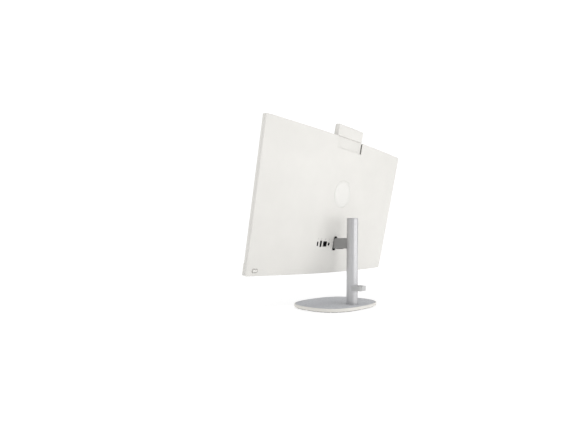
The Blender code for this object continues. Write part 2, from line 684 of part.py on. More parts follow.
CHIN_BACK = -0.0088
GRILLE_LENGTH = 0.112
GRILLE_INSET = 0.0445  # from the display's side to the grille
GRILLE_SPAN = (HALF_WIDTH - GRILLE_INSET - GRILLE_LENGTH, HALF_WIDTH - GRILLE_INSET)
GRILLE_HEIGHTS = (0.0090, 0.0220)
GRILLE_THICKNESS = 0.0012
GRILLE_SUNK = 0.0002
SPEAKER_MARGIN = 0.0060  # how much longer than its grille a speaker is at each end
SPEAKER_HEIGHTS = (0.0045, 0.0270)
SPEAKER_BACK = -0.0015
CONE_SIZE = (0.050, 0.012, 0.0040)  # width, height and depth
CONE_CORNER = 0.0055


def chin_cover():
    chin = slab("chin_cover", HALF_WIDTH, 0.0, CHIN_HEIGHT, EDGE_ROUND,
                level(-EDGE_DEPTH - CHIN_PROUD), level(CHIN_BACK), "white_plastic", columns=2)
    cut(chin, box("chin_room", (-HALF_WIDTH + WALL, -EDGE_DEPTH - CHIN_PROUD + WALL, WALL),
                  (HALF_WIDTH - WALL, 0.0, CHIN_HEIGHT - WALL)))
    for side in (-1, 1):
        xs = sorted((side * GRILLE_SPAN[0], side * GRILLE_SPAN[1]))
        cut(chin, box(f"grille_window_{side + 1}", (xs[0], -EDGE_DEPTH - BEYOND, GRILLE_HEIGHTS[0]),
                      (xs[1], 0.0, GRILLE_HEIGHTS[1])))
    return chin


def speaker_grille(name, side):
    xs = sorted((side * (GRILLE_SPAN[0] + GAP), side * (GRILLE_SPAN[1] - GAP)))
    front = -EDGE_DEPTH - CHIN_PROUD + GRILLE_SUNK
    return box(name, (xs[0], front, GRILLE_HEIGHTS[0] + GAP),
               (xs[1], front + GRILLE_THICKNESS, GRILLE_HEIGHTS[1] - GAP), "white_plastic")


def speaker(name, side):
    """Speaker box in the chin, with its cone's opening towards the grille."""
    front = -EDGE_DEPTH - CHIN_PROUD + WALL + GAP
    xs = sorted((side * (GRILLE_SPAN[0] - SPEAKER_MARGIN), side * (GRILLE_SPAN[1] + SPEAKER_MARGIN)))
    low, high = SPEAKER_HEIGHTS
    made = box(name, (xs[0], front, low), (xs[1], SPEAKER_BACK, high), "black_plastic")
    width, height, depth = CONE_SIZE
    cone = rounded_rectangle((sum(xs) / 2, sum(GRILLE_HEIGHTS) / 2), width, height, CONE_CORNER)
    cut(made, prism(f"{name}_cone", cone, "Y", front - INTO, front + depth))
    return made


CHASSIS_FOOT = 0.0050  # the tray starts this far above the chin
CHASSIS_SHEET = 0.0010
CHASSIS_FLANGE = 0.0025


def display_chassis():
    """Sheet steel tray behind the screen that everything inside is fixed to."""
    side, low, high = HALF_WIDTH - CHASSIS_INSET, CHIN_HEIGHT + CHASSIS_FOOT, PANEL_HEIGHT - CHASSIS_INSET
    back, sheet = LCD_BACK + GAP, CHASSIS_SHEET
    tray = box("display_chassis", (-side, back, low), (side, back + CHASSIS_FLANGE, high), "steel")
    cut(tray, box("tray_room", (-side + sheet, back + sheet, low + sheet),
                  (side - sheet, BEYOND, high - sheet)))
    return tray


CHASSIS_FACE = LCD_BACK + GAP + CHASSIS_SHEET


def badge_floor():
    """Back plane of the badge: its rim stays just proud of the curved cover."""
    return crown_depth(BADGE_RADIUS) - BADGE_THICKNESS + BADGE_PROUD


def badge_disc():
    low = badge_floor()
    return prism("badge_disc", circle((0.0, BADGE_HEIGHT), BADGE_RADIUS, BADGE_STEPS), "Y",
                 low, low + BADGE_THICKNESS, "badge_gloss")


# ---------------------------------------------------------------- tilt hinge

BRACKET_GAP = 0.0008
BRACKET_PLATE = 0.0025
BRACKET_NOSE = 0.0075
BRACKET_HALF = 0.0110  # half height of the cheek where it meets its foot
BRACKET_FOOT = (0.0140, 0.0020, 0.0130)  # reach sideways, thickness and half height
BOLT_STEM = (0.0050, 0.0010)  # past the nut's side and past the head's side
BOLT_TOP = (0.0052, 0.0032)  # radius and thickness of the hinge bolt's head
NUT_SIZE = (0.0055, 0.0035)
HINGE_OUTSIDE = ARM_WIDTH / 2 + BRACKET_GAP + BRACKET_PLATE + GAP


def hinge_bracket(name, side):
    """L-shaped bracket on the chassis, beside the arm's nose."""
    near = ARM_WIDTH / 2 + BRACKET_GAP
    far = near + BRACKET_PLATE
    foot = CHASSIS_FACE + GAP
    y, z = HINGE_PANEL.y, HINGE_PANEL.z
    cheek = arc((y, z), BRACKET_NOSE, -70, 70, 2 * EDGE_STEPS)
    cheek += [(foot, z + BRACKET_HALF), (foot, z - BRACKET_HALF)]
    reach, thick, half = BRACKET_FOOT
    xs = sorted((side * near, side * far))
    made = prism(name, cheek, "X", xs[0], xs[1], "steel")
    xs = sorted((side * near, side * (far + reach)))
    weld(made, box(f"{name}_foot", (xs[0], foot, z - half), (xs[1], foot + thick, z + half)))
    cut(made, prism(f"{name}_bore", circle((y, z), HINGE_PIN_RADIUS + GAP), "X", -far - BEYOND, far + BEYOND))
    return made


def hinge_bolt():
    y, z = HINGE_PANEL.y, HINGE_PANEL.z
    outside = HINGE_OUTSIDE
    bolt = prism("hinge_bolt", circle((y, z), HINGE_PIN_RADIUS), "X", -outside - BOLT_STEM[0],
                 outside + BOLT_STEM[1], "steel")
    radius, thick = BOLT_TOP
    weld(bolt, prism("hinge_bolt_head", circle((y, z), radius, HEXAGON), "X", outside, outside + thick))
    return bolt


def hinge_nut():
    y, z = HINGE_PANEL.y, HINGE_PANEL.z
    radius, thick = NUT_SIZE
    end = HINGE_OUTSIDE + thick
    nut = prism("hinge_nut", circle((y, z), radius, HEXAGON), "X", -end, -HINGE_OUTSIDE, "steel")
    cut(nut, prism("hinge_nut_bore", circle((y, z), HINGE_PIN_RADIUS + GAP), "X", -end - BEYOND, 0.0))
    return nut


def hinge_shroud():
    """Black collar that lines the arm's opening in the back cover."""
    front, back = CROWN - WALL - SHROUD_INSIDE, CROWN + SHROUD_PROUD
    shroud = prism("hinge_shroud", slot_outline(SHROUD_WALL), "Y", front, back, "black_plastic")
    cut(shroud, prism("shroud_opening", slot_outline(0.0), "Y", 0.0, CROWN + BEYOND))
    return shroud


# ---------------------------------------------------------------- electronics

BOARD_X = (-0.120, 0.132)
BOARD_Z = (0.070, 0.240)
BOARD_NOTCH = (0.0230, 0.112)  # half width and top of the notch around the hinge
BOARD_FACE = BOARD_FRONT + BOARD_THICKNESS


# name, x, z, (width, height, thickness), finish
BOARD_BLOCKS = [
    ("cpu_cold_plate", 0.040, 0.160, (0.050, 0.046, 0.0018), "copper"),
    ("memory_module_1", -0.060, 0.212, (0.0696, 0.030, 0.0036), "board_green"),
    ("memory_module_2", -0.060, 0.176, (0.0696, 0.030, 0.0036), "board_green"),
    ("solid_state_drive", -0.055, 0.130, (0.080, 0.022, 0.0030), "board_green"),
    ("wireless_card", 0.030, 0.216, (0.030, 0.022, 0.0024), "board_green"),
]


def mainboard():
    left, right = BOARD_X
    low, high = BOARD_Z
    half, notch = BOARD_NOTCH
    outline = [(left, low), (-half, low), (-half, notch), (half, notch), (half, low), (right, low)]
    outline += [(right, high), (left, high)]
    return prism("mainboard", outline, "Y", BOARD_FRONT, BOARD_FACE, "board_green")


def socket(name, x, body, mouth):
    """A socket on the board: a block with a blind mouth in its back face."""
    back = crown_depth(abs(x) + body[0] / 2) - SOCKET_SUNK
    made = box(name, (x - body[0] / 2, SOCKET_FRONT, PORT_HEIGHT - body[1] / 2),
               (x + body[0] / 2, back, PORT_HEIGHT + body[1] / 2), "black_plastic")
    cut(made, box(f"{name}_mouth", (x - mouth[0] / 2, back - SOCKET_DEPTH, PORT_HEIGHT - mouth[1] / 2),
                  (x + mouth[0] / 2, back + BEYOND, PORT_HEIGHT + mouth[1] / 2)))
    return made


def jack(name, x, body, mouth):
    back = crown_depth(abs(x) + body) - SOCKET_SUNK
    made = prism(name, circle((x, PORT_HEIGHT), body, SMALL_STEPS), "Y", SOCKET_FRONT, back, "black_plastic")
    cut(made, prism(f"{name}_mouth", circle((x, PORT_HEIGHT), mouth, SMALL_STEPS), "Y",
                    back - SOCKET_DEPTH, back + BEYOND))
    return made


def board_block(name, x, z, size, finish_name):
    """A plain component on the board: size is width, height and thickness."""
    low = BOARD_FACE + GAP
    return box(name, (x - size[0] / 2, low, z - size[1] / 2),
               (x + size[0] / 2, low + size[2], z + size[1] / 2), finish_name)


FAN_CENTRE = (0.176, 0.165)
FAN_HALF = 0.035
FAN_FRONT = CHASSIS_FACE + GAP
FAN_DEPTH = 0.0086
FAN_WALL = 0.0010
FAN_CORNER = 0.0040
FAN_RIM = 0.0025  # least wall of the case round its room
FAN_INLET = 0.021
FAN_OUTLET = (0.026, 0.010)  # half width, and how far above the axis it starts
FAN_INLET_DEPTH = 0.0030
FAN_STEPS = 32
HUB_RADIUS = 0.0120
VANES = 13
VANE_ANGLE = 5.0  # angle that a vane takes up at the hub
VANE_TIP = 0.0010
VANE_LEAN = 12
ROTOR_RADIUS = 0.0295
ROTOR_CLEARANCE = 0.0006
FIN_COUNT = 14
FIN_HALF_SPAN = 0.030
FIN_FOOT = 0.0010
FIN_LIFT = 0.0005  # gap between the fan and the fins
FIN_INSET = 0.0004
FIN_HEIGHT = 0.016
PIPE_DEPTH = (BOARD_FACE + 0.0024, BOARD_FACE + 0.0050)
PIPE_HALF = 0.0038
PIPE_PATH = [(0.040, 0.160), (0.100, 0.172), (0.130, 0.222), (0.202, 0.2235)]


def fan_housing():
    """Flat blower case: round inlet at the back, outlet at the top."""
    x, z = FAN_CENTRE
    back = FAN_FRONT + FAN_DEPTH
    case = prism("fan_housing", rounded_rectangle((x, z), 2 * FAN_HALF, 2 * FAN_HALF, FAN_CORNER, EDGE_STEPS),
                 "Y", FAN_FRONT, back, "black_plastic")
    scroll = circle((x, z), FAN_HALF - FAN_RIM, FAN_STEPS)
    cut(case, prism("fan_room", scroll, "Y", FAN_FRONT + FAN_WALL, back - FAN_WALL))
    cut(case, prism("fan_inlet", circle((x, z), FAN_INLET), "Y", back - FAN_INLET_DEPTH, back + BEYOND))
    half, start = FAN_OUTLET
    cut(case, box("fan_outlet", (x - half, FAN_FRONT + FAN_WALL, z + start),
                  (x + half, back - FAN_WALL, z + FAN_HALF + BEYOND)))
    return case


def fan_rotor():
    """Hub with straight vanes, modelled about its own axis."""
    share = 360 / VANES
    tip = math.degrees(VANE_TIP / ROTOR_RADIUS)
    outline = []
    for k in range(VANES):
        start, end = k * share, (k + 1) * share
        outline += arc((0, 0), HUB_RADIUS, start + VANE_ANGLE, end, 2)
        outline += arc((0, 0), ROTOR_RADIUS, end - VANE_LEAN, end - VANE_LEAN + tip, 1)
    depth = FAN_DEPTH - 2 * FAN_WALL - 2 * ROTOR_CLEARANCE
    return prism("fan_rotor", outline, "Y", -depth / 2, depth / 2, "black_plastic")


def heatsink_fins():
    """Fin stack across the fan's outlet."""
    x, z = FAN_CENTRE
    low = z + FAN_HALF + FIN_LIFT
    half = FIN_HALF_SPAN
    pitch = 2 * half / (FIN_COUNT - 0.5)
    front, back = FAN_FRONT + FIN_INSET, FAN_FRONT + FAN_DEPTH - FIN_INSET
    outline = [(x + half, front), (x - half, front)]
    for k in range(FIN_COUNT):
        start = x - half + k * pitch
        end = start + pitch / 2
        outline += [(start, back), (end, back)]
        if k < FIN_COUNT - 1:
            outline += [(end, front + FIN_FOOT), (start + pitch, front + FIN_FOOT)]
    return prism("heatsink_fins", outline, "Z", low, low + FIN_HEIGHT, "aluminium")


def heat_pipe():
    """Flattened copper pipe from the processor's plate to the fins."""
    path, last = PIPE_PATH, len(PIPE_PATH) - 1
    normals = []
    for k in range(len(path)):
        along = (Vector(path[min(k + 1, last)]) - Vector(path[max(k - 1, 0)])).normalized()
        normals.append(Vector((-along.y, along.x)) * PIPE_HALF)
    upper = [tuple(Vector(p) + n) for p, n in zip(path, normals)]
    lower = [tuple(Vector(p) - n) for p, n in zip(path, normals)]
    return prism("heat_pipe", upper + lower[::-1], "Y", *PIPE_DEPTH, "copper")


SWITCH_HALF = (0.0060, 0.0040)


def power_switch():
    """Tactile switch behind the power button."""
    x, z = BUTTON_PLACE
    back = button_flange_depth()[0] - BUTTON_TRAVEL - GAP
    wide, tall = SWITCH_HALF
    return box("power_switch", (x - wide, LCD_BACK + GAP, z - tall), (x + wide, back, z + tall),
               "black_plastic")


def button_flange_depth():
    """Front and back of the button's retaining flange, just inside the curved cover."""
    edge = BUTTON_PLACE[0] + BUTTON_SIZE[0] / 2 + BUTTON_CLEARANCE + BUTTON_FLANGE_REACH
    back = crown_depth(edge) - WALL - GAP
    return back - BUTTON_FLANGE_THICKNESS, back


def power_button():
    """Button cap with a retaining flange behind the cover, modelled about its own centre."""
    x, z = BUTTON_PLACE
    depth = button_flange_depth()
    cap = prism("power_button", rounded_rectangle((0, 0), *BUTTON_SIZE, BUTTON_CORNER), "Y",
                depth[0] + INTO / 2, crown_depth(x) + BUTTON_TRAVEL + BUTTON_PROUD, "white_plastic")
    flange = [size + 2 * (BUTTON_CLEARANCE + BUTTON_FLANGE_REACH) for size in BUTTON_SIZE]
    weld(cap, prism("button_flange", rounded_rectangle((0, 0), *flange, BUTTON_CORNER), "Y", *depth))
    return cap


# ---------------------------------------------------------------- pop-up camera

SEAM = 0.0003  # half of the line between the camera head and its carrier
CAMERA_AXIS_INSET = 0.0047  # tilt axis from the head's back and bottom faces
CAMERA_PIN_RADIUS = 0.0012
HEAD_WALL = 0.0014
HEAD_CHAMFER = 0.0008
NOTCH_HALF = 0.027  # finger notch along the top of the back
NOTCH_DEPTH = 0.0006
NOTCH_HEIGHTS = (0.0022, 0.0010)  # below the head's top
SLOT_SIDE = 0.0005  # side clearance of the ears' slots
SLOT_REACH = (0.0024, 0.0036)  # in front of the axis and behind it
SLOT_ROOF = 0.0010  # the slots end this far below the axis
EAR_FOOT_HALF = 0.0020
EAR_X = CAMERA_WIDTH / 2 - 0.007
EAR_WIDTH = 0.0040
EAR_RADIUS = 0.0027
CARRIER_LENGTH = 0.0590
CARRIER_FRONT = 0.0025
CARRIER_RIB = 0.0030
CARRIER_SKIN = 0.0020
TONGUE = (0.0030, 0.0050, 0.0070)  # reach, front and back depth of the carrier's side tongues
TONGUE_SPAN = (0.0020, 0.0240)  # above the carrier's bottom
RAIL_WALL = 0.0030
RAIL_CLEAR = 0.0010  # end clearance of the rails and the latch
RAIL_BACK = 0.0142
RAIL_PLAY = 0.0004
LATCH_SIZE = (0.0120, 0.0180, 0.0105)  # half width, height and back depth
FACE_THICKNESS = 0.0013
FACE_CORNER = 0.0012
LENS_RADIUS = 0.0045
LENS_DEPTH = (0.0003, 0.0058)
CAMERA_BOARD_SIZE = (0.045, 0.005, 0.009)  # half width, and reach below and above the lens
CAMERA_BOARD_DEPTH = (0.0061, 0.0069)
PIN_SHORT = 0.0004

HEAD_LOW = PANEL_HEIGHT + SEAM
HEAD_HIGH = PANEL_HEIGHT + CAMERA_LIFT
CAMERA_AXIS = Vector((0.0, CAMERA_DEPTH - CAMERA_AXIS_INSET, HEAD_LOW + CAMERA_AXIS_INSET))
CARRIER_HIGH = PANEL_HEIGHT - SEAM
CARRIER_LOW = CARRIER_HIGH - CARRIER_LENGTH


def camera_head_shell():
    """Back half of the camera head; its lower back edge is round about the tilt axis."""
    y, z = CAMERA_AXIS.y, CAMERA_AXIS.z
    front = FACE_THICKNESS + GAP
    half = CAMERA_WIDTH / 2
    outer = [(front, HEAD_LOW), (front, HEAD_HIGH)]
    outer += [(CAMERA_DEPTH - HEAD_CHAMFER, HEAD_HIGH), (CAMERA_DEPTH, HEAD_HIGH - HEAD_CHAMFER)]
    outer += arc((y, z), CAMERA_AXIS_INSET, 0, -90, 2 * EDGE_STEPS)
    shell = prism("camera_head_shell", outer, "X", -half, half, "white_plastic")
    inside = CAMERA_AXIS_INSET - HEAD_WALL
    room = [(0.0, HEAD_LOW + HEAD_WALL), (0.0, HEAD_HIGH - HEAD_WALL)]
    room += [(CAMERA_DEPTH - HEAD_WALL, HEAD_HIGH - HEAD_WALL)]
    room += arc((y, z), inside, 0, -90, 2 * EDGE_STEPS)
    cut(shell, prism("head_room", room, "X", -half + HEAD_WALL, half - HEAD_WALL))
    for side in (-1, 1):
        x, wide = side * EAR_X, EAR_WIDTH / 2 + SLOT_SIDE
        cut(shell, box(f"ear_slot_{side + 1}", (x - wide, y - SLOT_REACH[0], HEAD_LOW - BEYOND),
                       (x + wide, y + SLOT_REACH[1], z - SLOT_ROOF)))
    low, high = (HEAD_HIGH - below for below in NOTCH_HEIGHTS)
    cut(shell, box("finger_notch", (-NOTCH_HALF, CAMERA_DEPTH - NOTCH_DEPTH, low),
                   (NOTCH_HALF, CAMERA_DEPTH + BEYOND, high)))
    pin = circle((y, z), CAMERA_PIN_RADIUS + GAP, SMALL_STEPS)
    cut(shell, prism("head_pin_bore", pin, "X", -half - BEYOND, half + BEYOND))
    return shell


def camera_hinge_pin():
    half = CAMERA_WIDTH / 2 - PIN_SHORT
    pin = circle((CAMERA_AXIS.y, CAMERA_AXIS.z), CAMERA_PIN_RADIUS, SMALL_STEPS)
    return prism("camera_hinge_pin", pin, "X", -half, half, "steel")


def camera_face():
    """Front plate of the camera head, with the hole that the lens looks through."""
    half = CAMERA_WIDTH / 2
    middle = (0.0, (HEAD_LOW + HEAD_HIGH) / 2)
    outline = rounded_rectangle(middle, 2 * half, HEAD_HIGH - HEAD_LOW, FACE_CORNER, EDGE_STEPS)
    face = prism("camera_face", outline, "Y", 0.0, FACE_THICKNESS, "white_plastic")
    cut(face, prism("lens_hole", circle(middle, LENS_RADIUS + GAP), "Y", -BEYOND, BEYOND))
    return face


def camera_lens():
    middle = (0.0, (HEAD_LOW + HEAD_HIGH) / 2)
    return prism("camera_lens", circle(middle, LENS_RADIUS), "Y", *LENS_DEPTH, "black_plastic")


def camera_board():
    middle = (HEAD_LOW + HEAD_HIGH) / 2
    half, below, above = CAMERA_BOARD_SIZE
    front, back = CAMERA_BOARD_DEPTH
    return box("camera_board", (-half, front, middle - below), (half, back, middle + above), "board_green")


def camera_carrier():
    """Slider behind the cover's pocket: ears at the top hold the head, tongues run in the rails."""
    half = CAMERA_WIDTH / 2
    carrier = box("camera_carrier", (-half, CARRIER_FRONT, CARRIER_LOW), (half, CAMERA_DEPTH, CARRIER_HIGH),
                  "white_plastic")
    rib = CARRIER_RIB
    cut(carrier, box("carrier_room", (-half + rib, CARRIER_FRONT - BEYOND, CARRIER_LOW + rib),
                     (half - rib, CAMERA_DEPTH - CARRIER_SKIN, CARRIER_HIGH - rib)))
    reach, front, back = TONGUE
    y, z = CAMERA_AXIS.y, CAMERA_AXIS.z
    for side in (-1, 1):
        xs = sorted((side * (half - INTO), side * (half + reach)))
        weld(carrier, box(f"tongue_{side + 1}", (xs[0], front, CARRIER_LOW + TONGUE_SPAN[0]),
                          (xs[1], back, CARRIER_LOW + TONGUE_SPAN[1])))
        x = side * EAR_X
        ear = arc((y, z), EAR_RADIUS, 0, 180, 2 * EDGE_STEPS)
        ear += [(y - EAR_FOOT_HALF, CARRIER_HIGH - INTO), (y + EAR_FOOT_HALF, CARRIER_HIGH - INTO)]
        weld(carrier, prism(f"ear_{side + 1}", ear, "X", x - EAR_WIDTH / 2, x + EAR_WIDTH / 2))
    cut(carrier, prism("ear_bore", circle((y, z), CAMERA_PIN_RADIUS + GAP, SMALL_STEPS), "X", -half, half))
    return carrier


def camera_rail(name, side):
    """Grooved rail beside the carrier, hidden behind the cover."""
    reach, front, back = TONGUE
    near = CAMERA_WIDTH / 2 + POCKET_CLEARANCE + GAP
    far = CAMERA_WIDTH / 2 + reach + RAIL_WALL
    low, high = CARRIER_LOW - CAMERA_LIFT - 2 * RAIL_CLEAR, POCKET_FLOOR - RAIL_CLEAR
    xs = sorted((side * near, side * far))
    rail = box(name, (xs[0], CHASSIS_FACE + GAP, low), (xs[1], RAIL_BACK, high), "black_plastic")
    xs = sorted((side * (near - BEYOND), side * (CAMERA_WIDTH / 2 + reach + RAIL_PLAY)))
    cut(rail, box(f"{name}_groove", (xs[0], front - RAIL_PLAY, low - BEYOND),
                  (xs[1], back + RAIL_PLAY, high + BEYOND)))
    return rail


def camera_latch():
    """Push-push latch under the carrier's lowest place."""
    high = CARRIER_LOW - CAMERA_LIFT - RAIL_CLEAR
    half, tall, back = LATCH_SIZE
    return box("camera_latch", (-half, CHASSIS_FACE + GAP, high - tall), (half, back, high), "black_plastic")


# ---------------------------------------------------------------- assembly


def build_stand():
    foot_ring()
    base_weight()
    base_shell()
    base_inlay()
    stand_bolt()
    pole_plug()
    pole_tube()
    pole_cap()
    arm_core()
    arm_lock_screw()
    tilt_arm()
    cable_clip()


def build_display(tilt_axis):
    pieces = [
        rear_cover(), front_frame(), display_glass(), lcd_panel(), chin_cover(), display_chassis(),
        badge_disc(), hinge_bolt(), hinge_nut(), hinge_shroud(), mainboard(), power_switch(),
        fan_housing(), heatsink_fins(), heat_pipe(), camera_latch(),
    ]
    for side, word in ((1, "right"), (-1, "left")):
        pieces.append(speaker_grille(f"speaker_grille_{word}", side))
        pieces.append(speaker(f"speaker_{word}", side))
        pieces.append(hinge_bracket(f"hinge_bracket_{word}", side))
        pieces.append(camera_rail(f"camera_rail_{word}", side))
    pieces += [socket(*row) for row in SOCKETS]
    pieces += [jack(*row) for row in JACKS]
    pieces += [board_block(*row) for row in BOARD_BLOCKS]
    for piece in pieces:
        on_panel(piece, tilt_axis)


def build_movers(tilt_axis):
    rotor_depth = FAN_FRONT + FAN_DEPTH / 2
    fan_axis = panel_mount("fan_axis", tilt_axis, (FAN_CENTRE[0], rotor_depth, FAN_CENTRE[1]))
    fan_rotor().parent = fan_axis
    button_guide = panel_mount("button_guide", tilt_axis, (BUTTON_PLACE[0], 0.0, BUTTON_PLACE[1]))
    power_button().parent = button_guide
    camera_guide = panel_mount("camera_guide", tilt_axis, (0.0, 0.0, PANEL_HEIGHT))
    on_panel(camera_carrier(), camera_guide)
    on_panel(camera_hinge_pin(), camera_guide)
    camera_axis = panel_mount("camera_axis", camera_guide, CAMERA_AXIS)
    for piece in (camera_head_shell(), camera_face(), camera_lens(), camera_board()):
        on_panel(piece, camera_axis)


def main():
    clear_scene()
    build_stand()
    tilt_axis = empty("tilt_axis", at=HINGE_WORLD)
    tilt_axis["panel_place"] = tuple(HINGE_PANEL)
    tilt_axis.rotation_euler.x = -TILT
    build_display(tilt_axis)
    build_movers(tilt_axis)


main()
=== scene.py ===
import json
import math

import bmesh
import bpy
from mathutils import Matrix, Vector


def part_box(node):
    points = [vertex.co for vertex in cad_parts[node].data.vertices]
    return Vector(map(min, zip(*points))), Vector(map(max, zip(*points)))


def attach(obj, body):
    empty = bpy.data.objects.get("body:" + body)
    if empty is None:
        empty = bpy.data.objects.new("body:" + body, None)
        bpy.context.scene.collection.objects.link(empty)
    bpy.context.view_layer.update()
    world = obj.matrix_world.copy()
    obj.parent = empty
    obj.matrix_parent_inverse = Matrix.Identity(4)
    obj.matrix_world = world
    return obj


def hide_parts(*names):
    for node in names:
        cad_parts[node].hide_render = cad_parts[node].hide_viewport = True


# Looks of the all-in-one computer round its CAD frame. Metres, +Z up, the screen faces -Y.
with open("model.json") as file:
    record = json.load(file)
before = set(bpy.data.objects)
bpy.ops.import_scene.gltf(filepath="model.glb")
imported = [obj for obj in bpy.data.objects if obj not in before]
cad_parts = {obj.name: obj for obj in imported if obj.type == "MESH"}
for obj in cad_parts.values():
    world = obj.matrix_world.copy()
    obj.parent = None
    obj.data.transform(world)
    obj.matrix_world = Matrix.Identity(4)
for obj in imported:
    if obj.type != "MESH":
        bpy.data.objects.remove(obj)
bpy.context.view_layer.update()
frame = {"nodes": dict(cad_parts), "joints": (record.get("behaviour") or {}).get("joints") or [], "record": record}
print("frame loaded:", len(frame["nodes"]), "nodes")

# The display leans back at rest. Its pieces are drawn upright, in across, back and up, then leant.
joints = {joint["name"]: joint for joint in frame["joints"]}
slots = {row["node"]: row["material_slot"] for row in frame["record"]["subparts"]}
rearward = Vector(joints["fan_spin"]["axis"])
turnPanel = Matrix.Rotation(-math.atan2(-rearward.z, rearward.y), 4, "X")
seamDepth = 0.0050  # the back cover starts this far in front of its side edge
gap = 0.0003  # between pieces that seat against each other
beyond = 0.01  # how far a cutter reaches past what it cuts
tiny = 1e-6  # closer than this is the same point


def boxOf(points):
    low = Vector(min(p[k] for p in points) for k in range(3))
    high = Vector(max(p[k] for p in points) for k in range(3))
    return low, high


def uprightBox(node):
    back = turnPanel.inverted()
    return boxOf([back @ v.co for v in frame["nodes"][node].data.vertices])


coverStart = uprightBox("rear_cover")[0]
panelStart = Vector((0.0, coverStart.y + seamDepth, coverStart.z))
panelToWorld = turnPanel @ Matrix.Translation(panelStart)


def panelBox(node):
    # lowest and highest corner of a node, across, back and up the panel
    low, high = uprightBox(node)
    return low - panelStart, high - panelStart


# mesh tools


# slot would be that of the replaced node, unless it is given; the piece is not given it
def finish(name, bm, material, body=None, replaced=(), sharp=35, slot=None, onPanel=None):
    bmesh.ops.recalc_face_normals(bm, faces=bm.faces)
    mesh = bpy.data.meshes.new(name)
    bm.to_mesh(mesh)
    bm.free()
    if onPanel or (onPanel is None and body not in (None, "stand")):
        mesh.transform(panelToWorld)
    piece = bpy.data.objects.new(name, mesh)
    bpy.context.scene.collection.objects.link(piece)
    smooth(piece, sharp)
    for made in material if isinstance(material, list) else [material]:
        if made:
            mesh.materials.append(made)
    if body:
        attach(piece, body)
    if replaced:
        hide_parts(*replaced)
    slot = slot or (slots[replaced[0]] if replaced else None)
    return piece


def smooth(piece, sharp=35):
    piece.data.shade_smooth()
    piece.data.set_sharp_from_angle(angle=math.radians(sharp))


def arc(centre, radius, start, end, steps):
    angles = [math.radians(start + (end - start) * k / steps) for k in range(steps + 1)]
    return [(centre[0] + radius * math.cos(a), centre[1] + radius * math.sin(a)) for a in angles]


def circle(centre, radius, steps=48):
    return arc(centre, radius, 0, 360 - 360 / steps, steps - 1)


def roundedRect(centre, width, height, radius, steps=6):
    points = []
    for quarter, (sx, sy) in enumerate(((1, 1), (-1, 1), (-1, -1), (1, -1))):
        corner = (centre[0] + sx * (width / 2 - radius), centre[1] + sy * (height / 2 - radius))
        points += arc(corner, radius, 90 * quarter, 90 * quarter + 90, steps)
    return points


axisTurn = {
    "X": Matrix(((0, 0, 1), (1, 0, 0), (0, 1, 0))),
    "Y": Matrix(((1, 0, 0), (0, 0, 1), (0, 1, 0))),
    "Z": Matrix.Identity(3),
}


def inwardNormals(outline):
    area = sum(a[0] * b[1] - b[0] * a[1] for a, b in zip(outline, outline[1:] + outline[:1]))
    side = 1 if area > 0 else -1
    normals = []
    for k in range(len(outline)):
        along = Vector(outline[(k + 1) % len(outline)]) - Vector(outline[k - 1])
        normals.append(Vector((-along.y, along.x)).normalized() * side)
    return normals


def quarterRound(soft, steps):
    # (how far from the end, how far in from the side), from the end inwards
    turns = [math.pi / 2 * k / steps for k in range(steps + 1)]
    return [(soft - soft * math.cos(a), soft - soft * math.sin(a)) for a in turns]


def addRings(bm, rings, index=0, closed=False):
    faces = []
    pairs = list(zip(rings, rings[1:])) + ([(rings[-1], rings[0])] if closed else [])
    for one, two in pairs:
        for k in range(len(one)):
            after = (k + 1) % len(one)
            faces.append(bm.faces.new((one[k], one[after], two[after], two[k])))
    if not closed:
        faces += [bm.faces.new(rings[0]), bm.faces.new(rings[-1])]
    for face in faces:
        face.material_index = index


def ringOf(bm, outline, axis, height):
    return [bm.verts.new(axisTurn[axis] @ Vector((u, v, height))) for u, v in outline]


# an outline drawn out along an axis, with both ends rounded over by soft
def addPrism(bm, outline, axis, low, high, soft=0.0, steps=3, index=0):
    layers = [(low, 0.0), (high, 0.0)]
    if soft:
        ends = quarterRound(soft, steps)
        layers = [(low + rise, inset) for rise, inset in ends]
        layers += [(high - rise, inset) for rise, inset in reversed(ends)]
    normals = inwardNormals(outline)
    rings = []
    for height, inset in layers:
        moved = [tuple(Vector(p) + n * inset) for p, n in zip(outline, normals)]
        rings.append(ringOf(bm, moved, axis, height))
    addRings(bm, rings, index)


# a block with a blind mouth: both outlines have the same number of points
def addCup(bm, outer, inner, axis, low, high, floor, soft=0.0, index=0):
    around = inwardNormals(outer)
    layers = [(outer, low), (outer, high)]
    if soft:
        lip = [tuple(Vector(p) + n * soft) for p, n in zip(outer, around)]
        layers = [(outer, low), (outer, high - soft), (lip, high)]
    layers += [(inner, high), (inner, floor)]
    rings = [ringOf(bm, outline, axis, height) for outline, height in layers]
    addRings(bm, rings, index)


def addBox(bm, low, high, soft, index=0):
    middle = ((low[0] + high[0]) / 2, (low[1] + high[1]) / 2)
    outline = roundedRect(middle, high[0] - low[0], high[1] - low[1], soft, 3)
    addPrism(bm, outline, "Z", low[2], high[2], soft, 3, index)


# a closed (radius, height) profile turned about a vertical axis
def addTurned(bm, profile, centre, steps, index=0):
    rings = []
    for radius, height in profile:
        if radius < tiny:
            rings.append([bm.verts.new((centre[0], centre[1], height))])
        else:
            rings.append(ringOf(bm, circle(centre, radius, steps), "Z", height))
    for one, two in zip(rings, rings[1:] + rings[:1]):
        if len(one) == len(two) == 1:
            continue
        for k in range(steps):
            after = (k + 1) % steps
            corners = [one[k % len(one)], one[after % len(one)]]
            corners += [two[after % len(two)], two[k % len(two)]]
            corners = [v for n, v in enumerate(corners) if v not in corners[:n]]
            bm.faces.new(corners).material_index = index


def applyModifiers(piece):
    bpy.context.view_layer.update()
    graph = bpy.context.evaluated_depsgraph_get()
    made = bpy.data.meshes.new_from_object(piece.evaluated_get(graph))
    piece.modifiers.clear()
    piece.data = made


